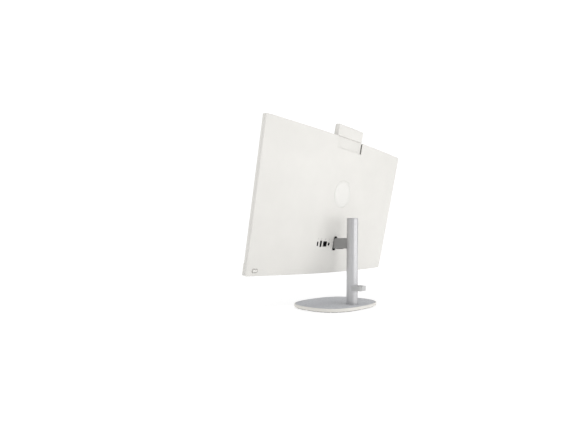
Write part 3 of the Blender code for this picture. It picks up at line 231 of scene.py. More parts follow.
def cutBy(piece, tools, operation="DIFFERENCE"):
    for tool in tools:
        modifier = piece.modifiers.new("cut", "BOOLEAN")
        modifier.operation = operation
        modifier.solver = "EXACT"
        modifier.object = tool
    applyModifiers(piece)
    for tool in tools:
        bpy.data.objects.remove(tool)


# one cutter from rows of (outline, axis, low, high)
def cutter(shapes, onPanel=True):
    bm = bmesh.new()
    for outline, axis, low, high in shapes:
        addPrism(bm, outline, axis, low, high)
    made = finish("cutter", bm, None, onPanel=onPanel)
    made.hide_render = True
    return made


def softenEdges(piece, width, segments=2, angle=50, sharp=40):
    modifier = piece.modifiers.new("soften", "BEVEL")
    modifier.width = width
    modifier.segments = segments
    modifier.limit_method = "ANGLE"
    modifier.angle_limit = math.radians(angle)
    applyModifiers(piece)
    smooth(piece, sharp)
    weighted = piece.modifiers.new("even", "WEIGHTED_NORMAL")
    weighted.keep_sharp = True
    applyModifiers(piece)


# material tools


def lighter(color, amount):
    return tuple(min(1.0, part * (1 + amount)) for part in color)


# sets a node's inputs by name: a socket is linked, anything else is its value
def setInputs(node, **values):
    for name, value in values.items():
        entry = node.inputs[name.replace("_", " ")]
        if isinstance(value, bpy.types.NodeSocket):
            node.id_data.links.new(value, entry)
        else:
            entry.default_value = value


def startMaterial(name, color, rough, metallic=0.0, **sockets):
    made = bpy.data.materials.new(name)
    made.use_nodes = True
    nodes = made.node_tree.nodes
    shader = nodes["Principled BSDF"]
    setInputs(shader, Base_Color=(*color, 1.0), Roughness=rough, Metallic=metallic, **sockets)
    made.diffuse_color = (*color, 1.0)
    return made, nodes, shader, nodes.new("ShaderNodeTexCoord").outputs["Object"]


def stretched(nodes, place, scale, turn=0.0):
    mapping = nodes.new("ShaderNodeMapping")
    setInputs(mapping, Vector=place, Scale=scale, Rotation=(turn, 0.0, 0.0))
    return mapping.outputs["Vector"]


def noise(nodes, place, scale, detail=3.0, rough=0.55):
    made = nodes.new("ShaderNodeTexNoise")
    setInputs(made, Vector=place, Scale=scale, Detail=detail, Roughness=rough)
    return made.outputs["Fac"]


def ramp(nodes, value, low, high, start=0.3, end=0.7):
    made = nodes.new("ShaderNodeValToRGB")
    for stop, place, color in zip(made.color_ramp.elements, (start, end), (low, high)):
        stop.position = place
        stop.color = (*color, 1.0)
    setInputs(made, Fac=value)
    return made.outputs["Color"]


def span(nodes, value, low, high, start=0.3, end=0.7):
    made = nodes.new("ShaderNodeMapRange")
    setInputs(made, Value=value, From_Min=start, From_Max=end, To_Min=low, To_Max=high)
    return made.outputs["Result"]


def relief(nodes, shader, height, strength, distance):
    made = nodes.new("ShaderNodeBump")
    setInputs(made, Height=height, Strength=strength, Distance=distance)
    setInputs(shader, Normal=made.outputs["Normal"])


# the color a little darker and lighter with the value
def mottle(nodes, shader, value, color, vary):
    setInputs(shader, Base_Color=ramp(nodes, value, lighter(color, -vary), lighter(color, vary)))


# moulded plastic: fine spark texture, faint mottling and an uneven sheen
def mouldedPlastic(name, color, rough=0.42, vary=0.02, grain=5200, depth=0.00002,
        uneven=0.05, **sockets):
    made, nodes, shader, place = startMaterial(name, color, rough, **sockets)
    mottle(nodes, shader, noise(nodes, place, 14, 4), color, vary)
    sheen = span(nodes, noise(nodes, place, 60, 3), rough - uneven, rough + uneven)
    setInputs(shader, Roughness=sheen)
    relief(nodes, shader, noise(nodes, place, grain, 2), 0.35, depth)
    return made


# metal with fine lines: scale squeezes the noise along the direction across them
def lappedMetal(name, color, rough, scale, metallic=1.0, depth=0.000008, vary=0.05):
    made, nodes, shader, place = startMaterial(name, color, rough, metallic)
    lines = noise(nodes, stretched(nodes, place, scale), 1.0, 4, 0.6)
    mottle(nodes, shader, lines, color, vary)
    setInputs(shader, Roughness=span(nodes, lines, rough - 0.06, rough + 0.08))
    relief(nodes, shader, lines, 0.25, depth)
    return made


knitShade = {
    "dark": (0.285, 0.299, 0.331), "light": (0.50, 0.512, 0.546), "fleck": (0.66, 0.66, 0.67),
    "rowWidth": 0.00352, "rough": 0.95, "depth": 0.00025,
}


# heather knit: rows of small loops in two yarns, with lighter flecks
def knitFabric():
    shade = knitShade
    made, nodes, shader, place = startMaterial("knit_inlay", shade["dark"], shade["rough"],
            Sheen_Weight=0.6, Sheen_Roughness=0.5)
    loops = nodes.new("ShaderNodeMath")
    loops.operation = "MULTIPLY"
    for k, direction in enumerate(("X", "Y")):
        wave = nodes.new("ShaderNodeTexWave")
        wave.bands_direction = direction
        setInputs(wave, Vector=place, Scale=1 / shade["rowWidth"], Distortion=2.2, Detail=2.0,
                Detail_Scale=2.5)
        made.node_tree.links.new(wave.outputs["Fac"], loops.inputs[k])
    yarn = noise(nodes, stretched(nodes, place, (1, 0.35, 1)), 900, 3)
    flecks = span(nodes, noise(nodes, place, 620, 2), 0.0, 1.0, 0.60, 0.70)
    mix = nodes.new("ShaderNodeMix")
    mix.data_type = "RGBA"
    setInputs(mix, Factor=flecks, A=ramp(nodes, yarn, shade["dark"], shade["light"], 0.36, 0.62),
            B=(*shade["fleck"], 1.0))
    setInputs(shader, Base_Color=mix.outputs["Result"])
    relief(nodes, shader, loops.outputs["Value"], 0.6, shade["depth"])
    return made


boardShade = {"mask": (0.012, 0.085, 0.035), "track": (0.03, 0.17, 0.07), "scale": 170}


# solder mask over copper tracks
def circuitBoard():
    shade = boardShade
    made, nodes, shader, place = startMaterial("board_mask", shade["mask"], 0.35)
    tracks = nodes.new("ShaderNodeTexBrick")
    setInputs(tracks, Vector=stretched(nodes, place, (1, 1, 1), math.pi / 2), Scale=shade["scale"],
            Mortar_Size=0.012, Color1=(*shade["mask"], 1.0),
            Color2=(*lighter(shade["mask"], 0.3), 1.0), Mortar=(*shade["track"], 1.0))
    setInputs(shader, Base_Color=tracks.outputs["Color"])
    relief(nodes, shader, tracks.outputs["Fac"], 0.3, 0.00004)
    return made


warmWhite = (0.740, 0.727, 0.694)
white = mouldedPlastic("white_housing", warmWhite, 0.42)
frameWhite = mouldedPlastic("white_frame", warmWhite, 0.40, 0.015)
rimWhite = mouldedPlastic("base_rim_cream", (0.74, 0.722, 0.680), 0.45, 0.03)
badgeWhite = mouldedPlastic("badge_gloss", (0.760, 0.750, 0.720), 0.34, 0.01, 4200, 0.000003, 0.015,
        Coat_Weight=0.1)
printGrey = mouldedPlastic("printed_mark", (0.40, 0.40, 0.40), 0.6, 0.05)
black = mouldedPlastic("black_plastic", (0.022, 0.022, 0.024), 0.45, 0.15, 3800)
insert = mouldedPlastic("socket_insert", (0.008, 0.008, 0.009), 0.6, 0.2)
rubber = mouldedPlastic("foot_rubber", (0.035, 0.033, 0.030), 0.85, 0.2, 1800, 0.00005)
clipPlastic = mouldedPlastic("clip_grey", (0.50, 0.50, 0.50), 0.42, 0.04)
armPaint = mouldedPlastic("arm_paint", (0.305, 0.303, 0.300), 0.50, 0.05, 2600)
poleMetal = lappedMetal("pole_satin", (0.54, 0.54, 0.55), 0.38, (30, 30, 5200), 0.6)
capMetal = lappedMetal("cap_satin", (0.56, 0.56, 0.57), 0.34, (900, 900, 900))
steel = lappedMetal("plated_steel", (0.55, 0.55, 0.56), 0.34, (60, 900, 60))
paintedSteel = mouldedPlastic("painted_steel", (0.10, 0.10, 0.105), 0.55, 0.1, 1500, 0.00004)
copper = lappedMetal("copper_bare", (0.78, 0.43, 0.28), 0.28, (900, 80, 900), vary=0.12)
# socket shell: plated steel painted near black, the painted shade of the socket's recess
socketShellPaintedShade = lappedMetal("socket_shell_painted_shade", (0.075, 0.075, 0.08), 0.42, (60, 900, 60))
gold = lappedMetal("contact_gold", (0.83, 0.62, 0.30), 0.25, (1500, 1500, 1500))
knit = knitFabric()
board = circuitBoard()
glass = mouldedPlastic("screen_border", (0.006, 0.006, 0.0075), 0.10, 0.08, 9000, 0.0000004, 0.01,
        Coat_Weight=0.3)
picture = mouldedPlastic("screen_picture", (0.011, 0.012, 0.015), 0.20, 0.04, 9000, 0.0000006, 0.012)
lensGlass = mouldedPlastic("lens_glass", (0.01, 0.008, 0.02), 0.05, 0.2, 600, 0.0000004, 0.01,
        Coat_Weight=1.0)
print("materials made:", len(bpy.data.materials))

# the back cover: a crowned shell, deepest in the middle

cover = {
    "crown": 0.0184, "crownPower": 1.75, "corner": 0.0030, "edgeRound": 0.0011, "wall": 0.0022,
    "columns": 128, "pocketGap": 0.0010, "ventWidth": 0.0030, "ventPitch": 0.0070, "ventLength": 0.0070,
    "ventIn": 0.0745, "ventOut": 0.1865, "armSlot": (0.0160, 0.0405, 0.0045), "slotHeight": 0.0861,
    "windowCorner": 0.0009, "buttonCorner": 0.0022, "buttonMargin": -0.0008, "buttonFrom": -0.006,
    "pocketMiddle": 0.0150, "pocketDepth": 0.0300, "pocketCorner": 0.0005, "roomAhead": 0.002,
    "ventRound": 0.49, "soften": 0.00022,
}
halfWidth, panelHeight = panelBox("rear_cover")[1].x, panelBox("rear_cover")[1].z
roundSockets = ["dc_in_port", "audio_port"]
socketNodes = [name for name in frame["nodes"] if name.endswith("_port") or "_port_" in name]


def crownDepth(x):
    return cover["crown"] * (1 - min(1.0, abs(x / halfWidth)) ** cover["crownPower"])


# a plate drawn across the panel: front and rear give its two faces at x
def addSlab(bm, half, low, high, corner, front, rear, columns, soft=0.0, fine=10, steps=6):
    reach = max(corner, soft)
    ends = [half - reach * (1 - math.cos(math.pi / 2 * k / fine)) for k in range(fine + 1)]
    inner = half - reach
    across = ends + [inner - 2 * inner * k / columns for k in range(1, columns)]
    across += [-x for x in reversed(ends)]
    rings = []
    for x in across:
        past = max(0.0, abs(x) - (half - corner))
        inset = corner - math.sqrt(max(corner ** 2 - past ** 2, 0.0))
        over = max(0.0, abs(x) - (half - soft))
        drop = soft - math.sqrt(max(soft ** 2 - over ** 2, 0.0))
        near, far = front(x), rear(x) - drop
        bottom, top = low + inset, high - inset
        points = [(near, bottom), (near, top)]
        if soft:
            small = max(soft - drop, soft * 0.04)
            points += reversed(arc((far - small, top - small), small, 0, 90, steps))
            points += reversed(arc((far - small, bottom + small), small, -90, 0, steps))
        else:
            points += [(far, top), (far, bottom)]
        rings.append([bm.verts.new((x, y, z)) for y, z in points])
    addRings(bm, rings)


# circles about a middle, up the panel's depth: layers are (radius, depth)
def addRound(bm, middle, steps, layers, index=0):
    addRings(bm, [ringOf(bm, circle(middle, r, steps), "Y", y) for r, y in layers], index)


def middleOf(low, high):
    return (low.x + high.x) / 2, (low.z + high.z) / 2


def windowOf(node, margin, radius, steps=4):
    low, high = panelBox(node)
    wide, tall = high.x - low.x + 2 * margin, high.z - low.z + 2 * margin
    return roundedRect(middleOf(low, high), wide, tall, radius, steps)


def ventShapes(first, last, height):
    shapes, wide = [], cover["ventWidth"]
    for k in range(int((last - first) / cover["ventPitch"]) + 1):
        middle = (first + k * cover["ventPitch"], 0.0)
        outline = roundedRect(middle, wide, cover["ventLength"], wide * cover["ventRound"], 4)
        shapes.append((outline, "Z", height - beyond, height + beyond))
    return shapes


def makeBackCover():
    size = cover
    bm = bmesh.new()
    addSlab(bm, halfWidth, 0.0, panelHeight, size["corner"], lambda x: -seamDepth, crownDepth,
            size["columns"], size["edgeRound"])
    shell = finish("back_cover", bm, white, "display", ["rear_cover"])
    bm = bmesh.new()
    wall = size["wall"]
    addSlab(bm, halfWidth - wall, wall, panelHeight - wall, size["corner"] / 2,
            lambda x: -seamDepth - size["roomAhead"],
            lambda x: crownDepth(x) - wall, size["columns"], 0.0, 2)
    room = finish("cutter", bm, None, onPanel=True)
    head = panelBox("camera_head_shell")[1]
    side = head.x + size["pocketGap"]
    pocket = roundedRect((0.0, size["pocketMiddle"]), 2 * side, size["pocketDepth"] + size["pocketGap"],
            size["pocketCorner"], 2)
    holes = [(pocket, "Z", 2 * panelHeight - head.z, panelHeight + beyond)]
    deep, out = size["crown"] - beyond, size["crown"] + beyond
    for name in socketNodes:
        low, high = panelBox(name)
        outline = windowOf(name, gap, size["windowCorner"])
        if name in roundSockets:
            outline = circle(middleOf(low, high), (high.x - low.x) / 2 + gap)
        holes.append((outline, "Y", deep, out))
    wide, tall, corner = size["armSlot"]
    holes.append((roundedRect((0.0, size["slotHeight"]), wide, tall, corner), "Y", deep, out))
    window = windowOf("power_button", size["buttonMargin"], size["buttonCorner"])
    holes.append((window, "Y", size["buttonFrom"], beyond))
    low, high = panelBox("badge_disc")
    holes.append((circle(middleOf(low, high), high.x + gap, 96), "Y", low.y - gap, out))
    outer, inner = halfWidth - size["ventIn"], halfWidth - size["ventOut"]
    vents = ventShapes(-outer, -inner, 0.0) + ventShapes(inner, outer, 0.0)
    vents += ventShapes(inner, outer, panelHeight)
    cutBy(shell, [room, cutter(holes), cutter(vents)])
    softenEdges(shell, size["soften"], 2, 60)
    evenCrown(shell.data)


# the curved back shades by its own curve, not by the long faces round its holes
def evenCrown(mesh):
    back, turn = panelToWorld.inverted(), turnPanel.to_3x3()
    within = math.cos(math.radians(4))  # faces that follow the curve, not the walls of the holes
    normals = [tuple(corner.vector) for corner in mesh.corner_normals]
    for face in mesh.polygons:
        x = (back @ face.center).x
        if (turn @ crownNormal(x)).dot(face.normal) < within:
            continue
        for corner in face.loop_indices:
            x = (back @ mesh.vertices[mesh.loops[corner].vertex_index].co).x
            normals[corner] = tuple(turn @ crownNormal(x))
    mesh.normals_split_custom_set(normals)


def crownNormal(x):
    share = min(1.0, abs(x / halfWidth))
    slope = cover["crown"] * cover["crownPower"] * share ** (cover["crownPower"] - 1) / halfWidth
    return Vector((math.copysign(slope, x), 1.0, 0.0)).normalized()


makeBackCover()
print("back cover made")

# the black collar inside the arm's opening

collar = {"wall": 0.0016, "front": 0.0045, "under": 0.0001, "round": 0.0005}


def makeCollar():
    size = collar
    wide, tall, corner = cover["armSlot"]
    middle, wall = (0.0, cover["slotHeight"]), size["wall"]
    outer = roundedRect(middle, wide + 2 * wall, tall + 2 * wall, corner + wall)
    bm = bmesh.new()
    back = cover["crown"] - cover["wall"] - size["under"]
    front = back - size["front"]
    layers = [(outer, front), (outer, back)]
    for rise, inset in reversed(quarterRound(size["round"], 3)):
        lip = roundedRect(middle, wide + 2 * inset, tall + 2 * inset, corner + inset)
        layers.append((lip, back - rise))
    layers.append((roundedRect(middle, wide, tall, corner), front))
    addRings(bm, [ringOf(bm, outline, "Y", height) for outline, height in layers], closed=True)
    finish("arm_slot_collar", bm, black, "display", ["hinge_shroud"])


makeCollar()

# the blank badge disc, with a turned line near its rim

badge = {
    "rimRound": 0.00035, "lineIn": 0.0022, "lineWidth": 0.0006, "lineDepth": 0.00018, "steps": 128,
    "face": (0.7, 0.4, 0.1),
}


def makeBadge():
    size = badge
    low, high = panelBox("badge_disc")
    middle, radius = middleOf(low, high), high.x
    layers = [(radius, low.y)]
    rim = reversed(quarterRound(size["rimRound"], 3))
    layers += [(radius - inset, high.y - rise) for rise, inset in rim]
    line, half = radius - size["lineIn"], size["lineWidth"] / 2
    layers += [(line + half, high.y), (line, high.y - size["lineDepth"]), (line - half, high.y)]
    layers += [(radius * share, high.y) for share in size["face"]]
    bm = bmesh.new()
    addRound(bm, middle, size["steps"], layers)
    finish("badge_plate", bm, badgeWhite, "display", ["badge_disc"], 60)


makeBadge()

# the sockets: a black block, a plated shell in its mouth, a tongue and gold contacts; the shell's steel is painted
# near black as painted shade of the recess
# tongue is (offset across, thickness, length up, depth from the floor), pins is (count, pitch, width)

socketPlan = {
    "data_port_1": {
        "mouth": (0.0052, 0.0126), "corner": 0.0004,
        "tongue": (0.0010, 0.0017, 0.0102, 0.0074), "pins": (4, 0.0023, 0.0011),
    },
    "video_port": {
        "mouth": (0.0056, 0.0152), "corner": 0.0012,
        "tongue": (0.0, 0.0013, 0.0118, 0.0066), "pins": (10, 0.0011, 0.0005),
    },
    "network_port": {
        "mouth": (0.0130, 0.0112), "corner": 0.0003,
        "tongue": (0.0050, 0.0016, 0.0088, 0.0070), "pins": (8, 0.00102, 0.0004),
    },
    "small_data_port": {
        "mouth": (0.0034, 0.0092), "corner": 0.0016,
        "tongue": (0.0, 0.0007, 0.0066, 0.0068), "pins": (12, 0.0005, 0.00025),
    },
    "dc_in_port": {"mouth": 0.0031, "pin": 0.0008, "reach": 0.0074},
    "audio_port": {"mouth": 0.0018, "pin": 0.0, "reach": 0.0},
}
socketSize = {
    "depth": 0.0090, "shell": 0.0003, "clear": 0.00004, "lip": 0.00012, "floor": 0.0005, "steps": 5,
    "blockCorner": 0.0005, "blockRound": 0.0002, "shellRound": 0.0001, "leastCorner": 0.0002,
    "tongueRound": 0.00015, "tongueSunk": 0.0001, "contact": 0.00012, "contactRound": 0.00008,
    "contactFrom": 0.0004, "contactReach": 0.93, "pinRound": 0.0003, "pinFrom": 0.0002,
}


def addTongue(bm, plan, middle, floor):
    size = socketSize
    offset, thick, tall, reach = plan["tongue"]
    x, z = middle[0] + offset, middle[1]
    low = (x - thick / 2, floor - size["tongueSunk"], z - tall / 2)
    addBox(bm, low, (x + thick / 2, floor + reach, z + tall / 2), size["tongueRound"], 2)
    count, pitch, wide = plan["pins"]
    face, rise = x - thick / 2, size["contact"]
    for k in range(count):
        height = z + (k - (count - 1) / 2) * pitch
        low = (face - rise, floor + size["contactFrom"], height - wide / 2)
        high = (face + rise, floor + reach * size["contactReach"], height + wide / 2)
        addBox(bm, low, high, size["contactRound"], 3)


def makeSocket(name):
    plan, size = socketPlan.get(name) or socketPlan["data_port_1"], socketSize
    low, high = panelBox(name)
    middle, back = middleOf(low, high), high.y
    floor, thin, clear = back - size["depth"], size["shell"], size["clear"]
    if name in roundSockets:
        radius, reach = plan["mouth"], plan["reach"]
        liner = radius - clear
        outlines = [circle(middle, r) for r in (high.x - middle[0], radius, liner, liner - thin)]
    else:
        (wide, tall), corner, steps = plan["mouth"], plan["corner"], size["steps"]
        inside = max(corner - thin, size["leastCorner"])
        outlines = [
            windowOf(name, 0.0, size["blockCorner"], steps),
            roundedRect(middle, wide, tall, corner, steps),
            roundedRect(middle, wide - 2 * clear, tall - 2 * clear, corner, steps),
            roundedRect(middle, wide - 2 * thin, tall - 2 * thin, inside, steps),
        ]
    bm = bmesh.new()
    addCup(bm, *outlines[:2], "Y", low.y, back, floor, size["blockRound"])
    addCup(bm, *outlines[2:], "Y", floor + clear, back + size["lip"], floor + size["floor"],
           size["shellRound"], 1)
    if "tongue" in plan:
        addTongue(bm, plan, middle, floor + size["floor"])
    elif plan["pin"]:
        addPrism(bm, circle(middle, plan["pin"], 24), "Y", floor + size["pinFrom"], floor + reach,
                size["pinRound"], 3, 1)
    finish(name.replace("_port", "_socket"), bm, [insert, socketShellPaintedShade, insert, gold], "display", [name])


for name in socketNodes:
    makeSocket(name)
print("sockets made:", len(socketNodes))

# small printed marks above the sockets, plain shapes only

marks = {"rise": 0.0142, "line": 0.00042, "thick": 0.00003, "sunk": 0.00005, "barCorner": 0.3,
        "leastCorner": 0.00005}

# rings are (across, up, width, height, corner) and bars (across, up, width, height)
markPlan = {
    "video_port": {
        "rings": [(0.0, 0.0, 0.0056, 0.0032, 0.0005)], "bars": [(0.0, -0.0023, 0.0028, 0.0005)],
    },
    "network_port": {
        "rings": [(x, z, 0.0017, 0.0015, 0.0002)
        for x, z in ((0.0, 0.0013), (-0.0015, -0.0013), (0.0015, -0.0013))],
        "bars": [(0.0, 0.0, 0.0034, 0.00035)],
    },
    "round": {"rings": [(0.0, 0.0, 0.0030, 0.0030, 0.00149)], "bars": [(0.0, 0.0, 0.0008, 0.0008)]},
    "flat": {
        "rings": [(0.0, -0.0006, 0.0022, 0.0026, 0.0004)], "bars": [(0.0, 0.0014, 0.0012, 0.0010)],
    },
}


def ringMark(bm, middle, width, height, radius):
    line, low, high = marks["line"], -marks["sunk"], marks["thick"]
    outer = roundedRect(middle, width, height, radius, 5)
    inside = max(radius - line, marks["leastCorner"])
    inner = roundedRect(middle, width - 2 * line, height - 2 * line, inside, 5)
    ends = [(outer, low), (outer, high), (inner, high), (inner, low)]
    addRings(bm, [ringOf(bm, outline, "Y", y) for outline, y in ends], closed=True)


def barMark(bm, middle, width, height):
    outline = roundedRect(middle, width, height, min(width, height) * marks["barCorner"], 3)
    addPrism(bm, outline, "Y", -marks["sunk"], marks["thick"])


def makeMarks():
    bm = bmesh.new()
    for name in socketNodes:
        x, z = middleOf(*panelBox(name))
        z += marks["rise"]
        plan = markPlan.get(name) or markPlan["round" if name in roundSockets else "flat"]
        for across, up, width, height, corner in plan["rings"]:
            ringMark(bm, (x + across, z + up), width, height, corner)
        for across, up, width, height in plan["bars"]:
            barMark(bm, (x + across, z + up), width, height)
    for vertex in bm.verts:
        vertex.co.y += crownDepth(vertex.co.x)
    finish("socket_marks", bm, printGrey, "display", (), 30, "white_housing")


makeMarks()

# the white ring round the glass, and the chin below it

frontRing = {
    "lip": 0.0019, "ledge": 0.0049, "glass": 0.0010, "wall": 0.0022, "corner": 0.0030, "round": 0.0007,
    "tuck": 0.001, "soften": 0.0004,
}
chin = {"wall": 0.0022, "round": 0.0010, "window": 0.0001, "soften": 0.00035}
grille = {"pitch": 0.00155, "hole": 0.00047, "round": 0.0002}


# a slab the full width of the display, with its rounded face to the front
def addFrontSlab(bm, low, high, top, corner, soft):
    addSlab(bm, halfWidth, 0.0, top, corner, lambda x: -high.y, lambda x: -low.y, 2, soft)
    for vertex in bm.verts:
        vertex.co.y *= -1


def boxCutter(low, high):
    outline = [(low[0], low[1]), (high[0], low[1]), (high[0], high[1]), (low[0], high[1])]
    return cutter([(outline, "Z", low[2], high[2])])


def makeFrontRing():
    size = frontRing
    low, high = panelBox("front_frame")
    chinTop = panelBox("chin_cover")[1]
    bm = bmesh.new()
    addFrontSlab(bm, low, high, panelHeight, size["corner"], size["round"])
    ring = finish("front_ring", bm, frameWhite, "display", ["front_frame"])
    inner, lip, ahead = halfWidth - size["ledge"], halfWidth - size["lip"], low.y - beyond
    seat = low.y + size["glass"] + gap
    room = boxCutter((-inner, ahead, size["wall"]), (inner, 0.0, panelHeight - size["ledge"]))
    glassSeat = boxCutter((-lip, ahead, chinTop.z - size["tuck"]),
            (lip, seat, panelHeight - size["lip"]))
    side = halfWidth + beyond
    chinSeat = boxCutter((-side, ahead, -beyond), (side, chinTop.y + gap, chinTop.z + gap))
    cutBy(ring, [room, glassSeat, chinSeat])
    softenEdges(ring, size["soften"], 2, 50)


def makeChin():
    size = chin
    low, high = panelBox("chin_cover")
    bm = bmesh.new()
    addFrontSlab(bm, low, high, high.z, size["round"], size["round"])
    piece = finish("chin", bm, frameWhite, "display", ["chin_cover"])
    wall = size["wall"]
    tools = [boxCutter((-halfWidth + wall, low.y + wall, wall), (halfWidth - wall, 0.0, high.z - wall))]
    for word in ("left", "right"):
        a, b = panelBox(f"speaker_grille_{word}")
        grow = gap - size["window"]
        tools.append(boxCutter((a.x - grow, low.y - beyond, a.z - grow), (b.x + grow, 0.0, b.z + grow)))
    cutBy(piece, tools)
    softenEdges(piece, size["soften"], 2, 50)


# a plate of small through holes on a square grid, with a closed edge all round
def makeGrille(word):
    size = grille
    low, high = panelBox(f"speaker_grille_{word}")
    columns = round((high.x - low.x) / size["pitch"])
    rows = round((high.z - low.z) / size["pitch"])
    stepX, stepZ = (high.x - low.x) / columns, (high.z - low.z) / rows
    corners = [(1, 0), (1, 1), (0, 1), (-1, 1), (-1, 0), (-1, -1), (0, -1), (1, -1)]
    sides = len(corners)
    bm = bmesh.new()
    for i in range(columns):
        for j in range(rows):
            x, z = low.x + (i + 0.5) * stepX, low.z + (j + 0.5) * stepZ
            square = [(x + a * stepX / 2, z + b * stepZ / 2) for a, b in corners]
            hole = circle((x, z), size["hole"], sides)
            wide = circle((x, z), size["hole"] + size["round"] / 2, sides)
            loops = [(square, high.y), (square, low.y), (wide, low.y)]
            loops += [(hole, low.y + size["round"]), (hole, high.y)]
            rings = [ringOf(bm, outline, "Y", y) for outline, y in loops]
            for one, two in list(zip(rings[1:], rings[2:])) + [(rings[4], rings[0])]:
                for k in range(sides):
                    after = (k + 1) % sides
                    bm.faces.new((one[k], one[after], two[after], two[k]))
            edges = [
                (i == columns - 1, (7, 0, 1)), (i == 0, (3, 4, 5)),
                (j == rows - 1, (1, 2, 3)), (j == 0, (5, 6, 7)),
            ]
            for outside, side in edges:
                for k, after in zip(side, side[1:]) if outside else ():
                    bm.faces.new((rings[0][k], rings[0][after], rings[1][after], rings[1][k]))
    bmesh.ops.remove_doubles(bm, verts=bm.verts, dist=tiny)
    finish(f"grille_{word}", bm, frameWhite, "display", [f"speaker_grille_{word}"], 30)


makeFrontRing()
makeChin()
for word in ("left", "right"):
    makeGrille(word)
print("front ring, chin and grilles made")

# the front glass: a black border round the picture area

screen = {"corner": 0.0012, "round": 0.00025, "border": 0.0056, "foot": 0.0018, "step": 0.00002}


def makeGlass():
    size = screen
    low, high = panelBox("display_glass")
    middle = middleOf(low, high)
    bm = bmesh.new()
    addPrism(bm, windowOf("display_glass", 0.0, size["corner"]), "Y", low.y, high.y, size["round"], 3)
    front = min(bm.faces, key=lambda face: face.calc_center_median().y)
    inner = bmesh.ops.inset_region(bm, faces=[front], thickness=size["border"] - size["round"])["faces"]
    front.material_index = 1
    for face in inner:
        face.material_index = 0
    for vertex in front.verts:
        vertex.co.y += size["step"]
        if vertex.co.z < middle[1]:
            vertex.co.z -= size["border"] - size["foot"]
    finish("front_glass", bm, [glass, picture], "display", ["display_glass"], 20)


makeGlass()

# the power button: a small dished cap with its retaining flange

button = {
    "round": 0.00045, "cap": (0.0142, 0.0076, 0.0011), "flange": (0.0182, 0.0116), "dish": 0.00012,
    "dishAt": (0.0009, 0.0017, 0.0026, 0.0034), "skirt": 0.0005, "flangeThick": 0.0010,
    "leastCorner": 0.0003,
}


def makeButton():
    size = button
    low, high = panelBox("power_button")
    middle = middleOf(low, high)
    wide, tall, corner = size["cap"]
    outline = roundedRect(middle, wide, tall, corner, 5)
    normals = inwardNormals(outline)
    layers = [(0.0, low.y + size["skirt"])]
    layers += [(inset, high.y - rise) for rise, inset in reversed(quarterRound(size["round"], 4))]
    for inset in size["dishAt"]:
        layers.append((inset, high.y - size["dish"] * (inset / size["dishAt"][-1]) ** 0.5))
    bm, rings = bmesh.new(), []
    for inset, y in layers:
        moved = [tuple(Vector(p) + n * inset) for p, n in zip(outline, normals)]
        if inset > corner / 2:
            least = max(corner - inset, size["leastCorner"])
            moved = roundedRect(middle, wide - 2 * inset, tall - 2 * inset, least, 5)
        rings.append(ringOf(bm, moved, "Y", y))
    addRings(bm, rings)
    flange = roundedRect(middle, *size["flange"], corner, 5)
    addPrism(bm, flange, "Y", low.y, low.y + size["flangeThick"], index=1)
    finish("power_button_cap", bm, [white, insert], "button", ["power_button"], 50)


makeButton()
print("glass and button made")

# the pop-up camera: a head that tips on a pin, and the carrier it stands on

camera = {
    "endRound": 0.0007, "topRound": 0.0012, "axisInset": 0.0047, "face": 0.0013, "wall": 0.0014,
    "notch": (0.054, 0.0013, 0.0021, 0.0006), "earX": 0.0500,
    "earSlot": (0.0025, 0.0024, 0.0036, 0.0010),
    "roomCorner": 0.0008, "soften": 0.00015,
}
cameraFace = {
    "corner": 0.0012, "round": 0.0005, "micHole": 0.0006, "micAt": (0.0180, 0.0230), "lightAt": 0.0105,
    "lightRadius": 0.0007, "lightDeep": 0.0007, "soften": 0.00012,
}
lens = {"radius": 0.0045, "round": 0.0003, "cone": (0.78, 0.66), "deep": 0.0007, "floor": 0.0016,
        "dome": (0.655, 0.0014, 0.0009), "inner": 0.2, "steps": 48, "domeSteps": 7}
carrier = {
    "corner": 0.0007, "round": 0.0004, "earRadius": 0.0027, "earHalf": 0.0020, "earFoot": 0.001,
    "earRound": 0.0002, "ribIn": 0.001, "ribDepth": (0.0050, 0.0070), "ribUp": (0.0020, 0.0240),
    "ribRound": 0.0003,
}


def makeHead():
    size = camera
    low, high = panelBox("camera_head_shell")
    axisY, axisZ = high.y - size["axisInset"], low.z + size["axisInset"]
    soft = size["topRound"]
    outline = [(low.y, low.z), (low.y, high.z)]
    outline += reversed(arc((high.y - soft, high.z - soft), soft, 0, 90, 5))
    outline += reversed(arc((axisY, axisZ), size["axisInset"], -90, 0, 12))
    bm = bmesh.new()
    addPrism(bm, outline, "X", low.x, high.x, size["endRound"], 4)
    shell = finish("camera_head", bm, white, "camera_head", ["camera_head_shell"])
    wall = size["wall"]
    holes = []
    middle = ((low.y + high.y) / 2 - wall, (low.z + high.z) / 2 + wall)
    room = roundedRect(middle, high.y - low.y - wall, high.z - low.z - 4 * wall, size["roomCorner"], 3)
    holes.append((room, "X", low.x + wall, high.x - wall))
    half, ahead, behind, roof = size["earSlot"]
    for side in (-1, 1):
        x = side * size["earX"]
        ear = [(axisY - ahead, low.z - beyond), (axisY + behind, low.z - beyond),
               (axisY + behind, axisZ - roof), (axisY - ahead, axisZ - roof)]
        holes.append((ear, "X", x - half, x + half))
    length, deep, below, above = size["notch"]
    tall = below - above
    notch = roundedRect((0.0, high.z - (below + above) / 2), length, tall, tall * 0.45, 4)
    holes.append((notch, "Y", high.y - deep, high.y + beyond))
    cutBy(shell, [cutter(holes[:1]), cutter(holes[1:])])
    softenEdges(shell, size["soften"], 2, 55)


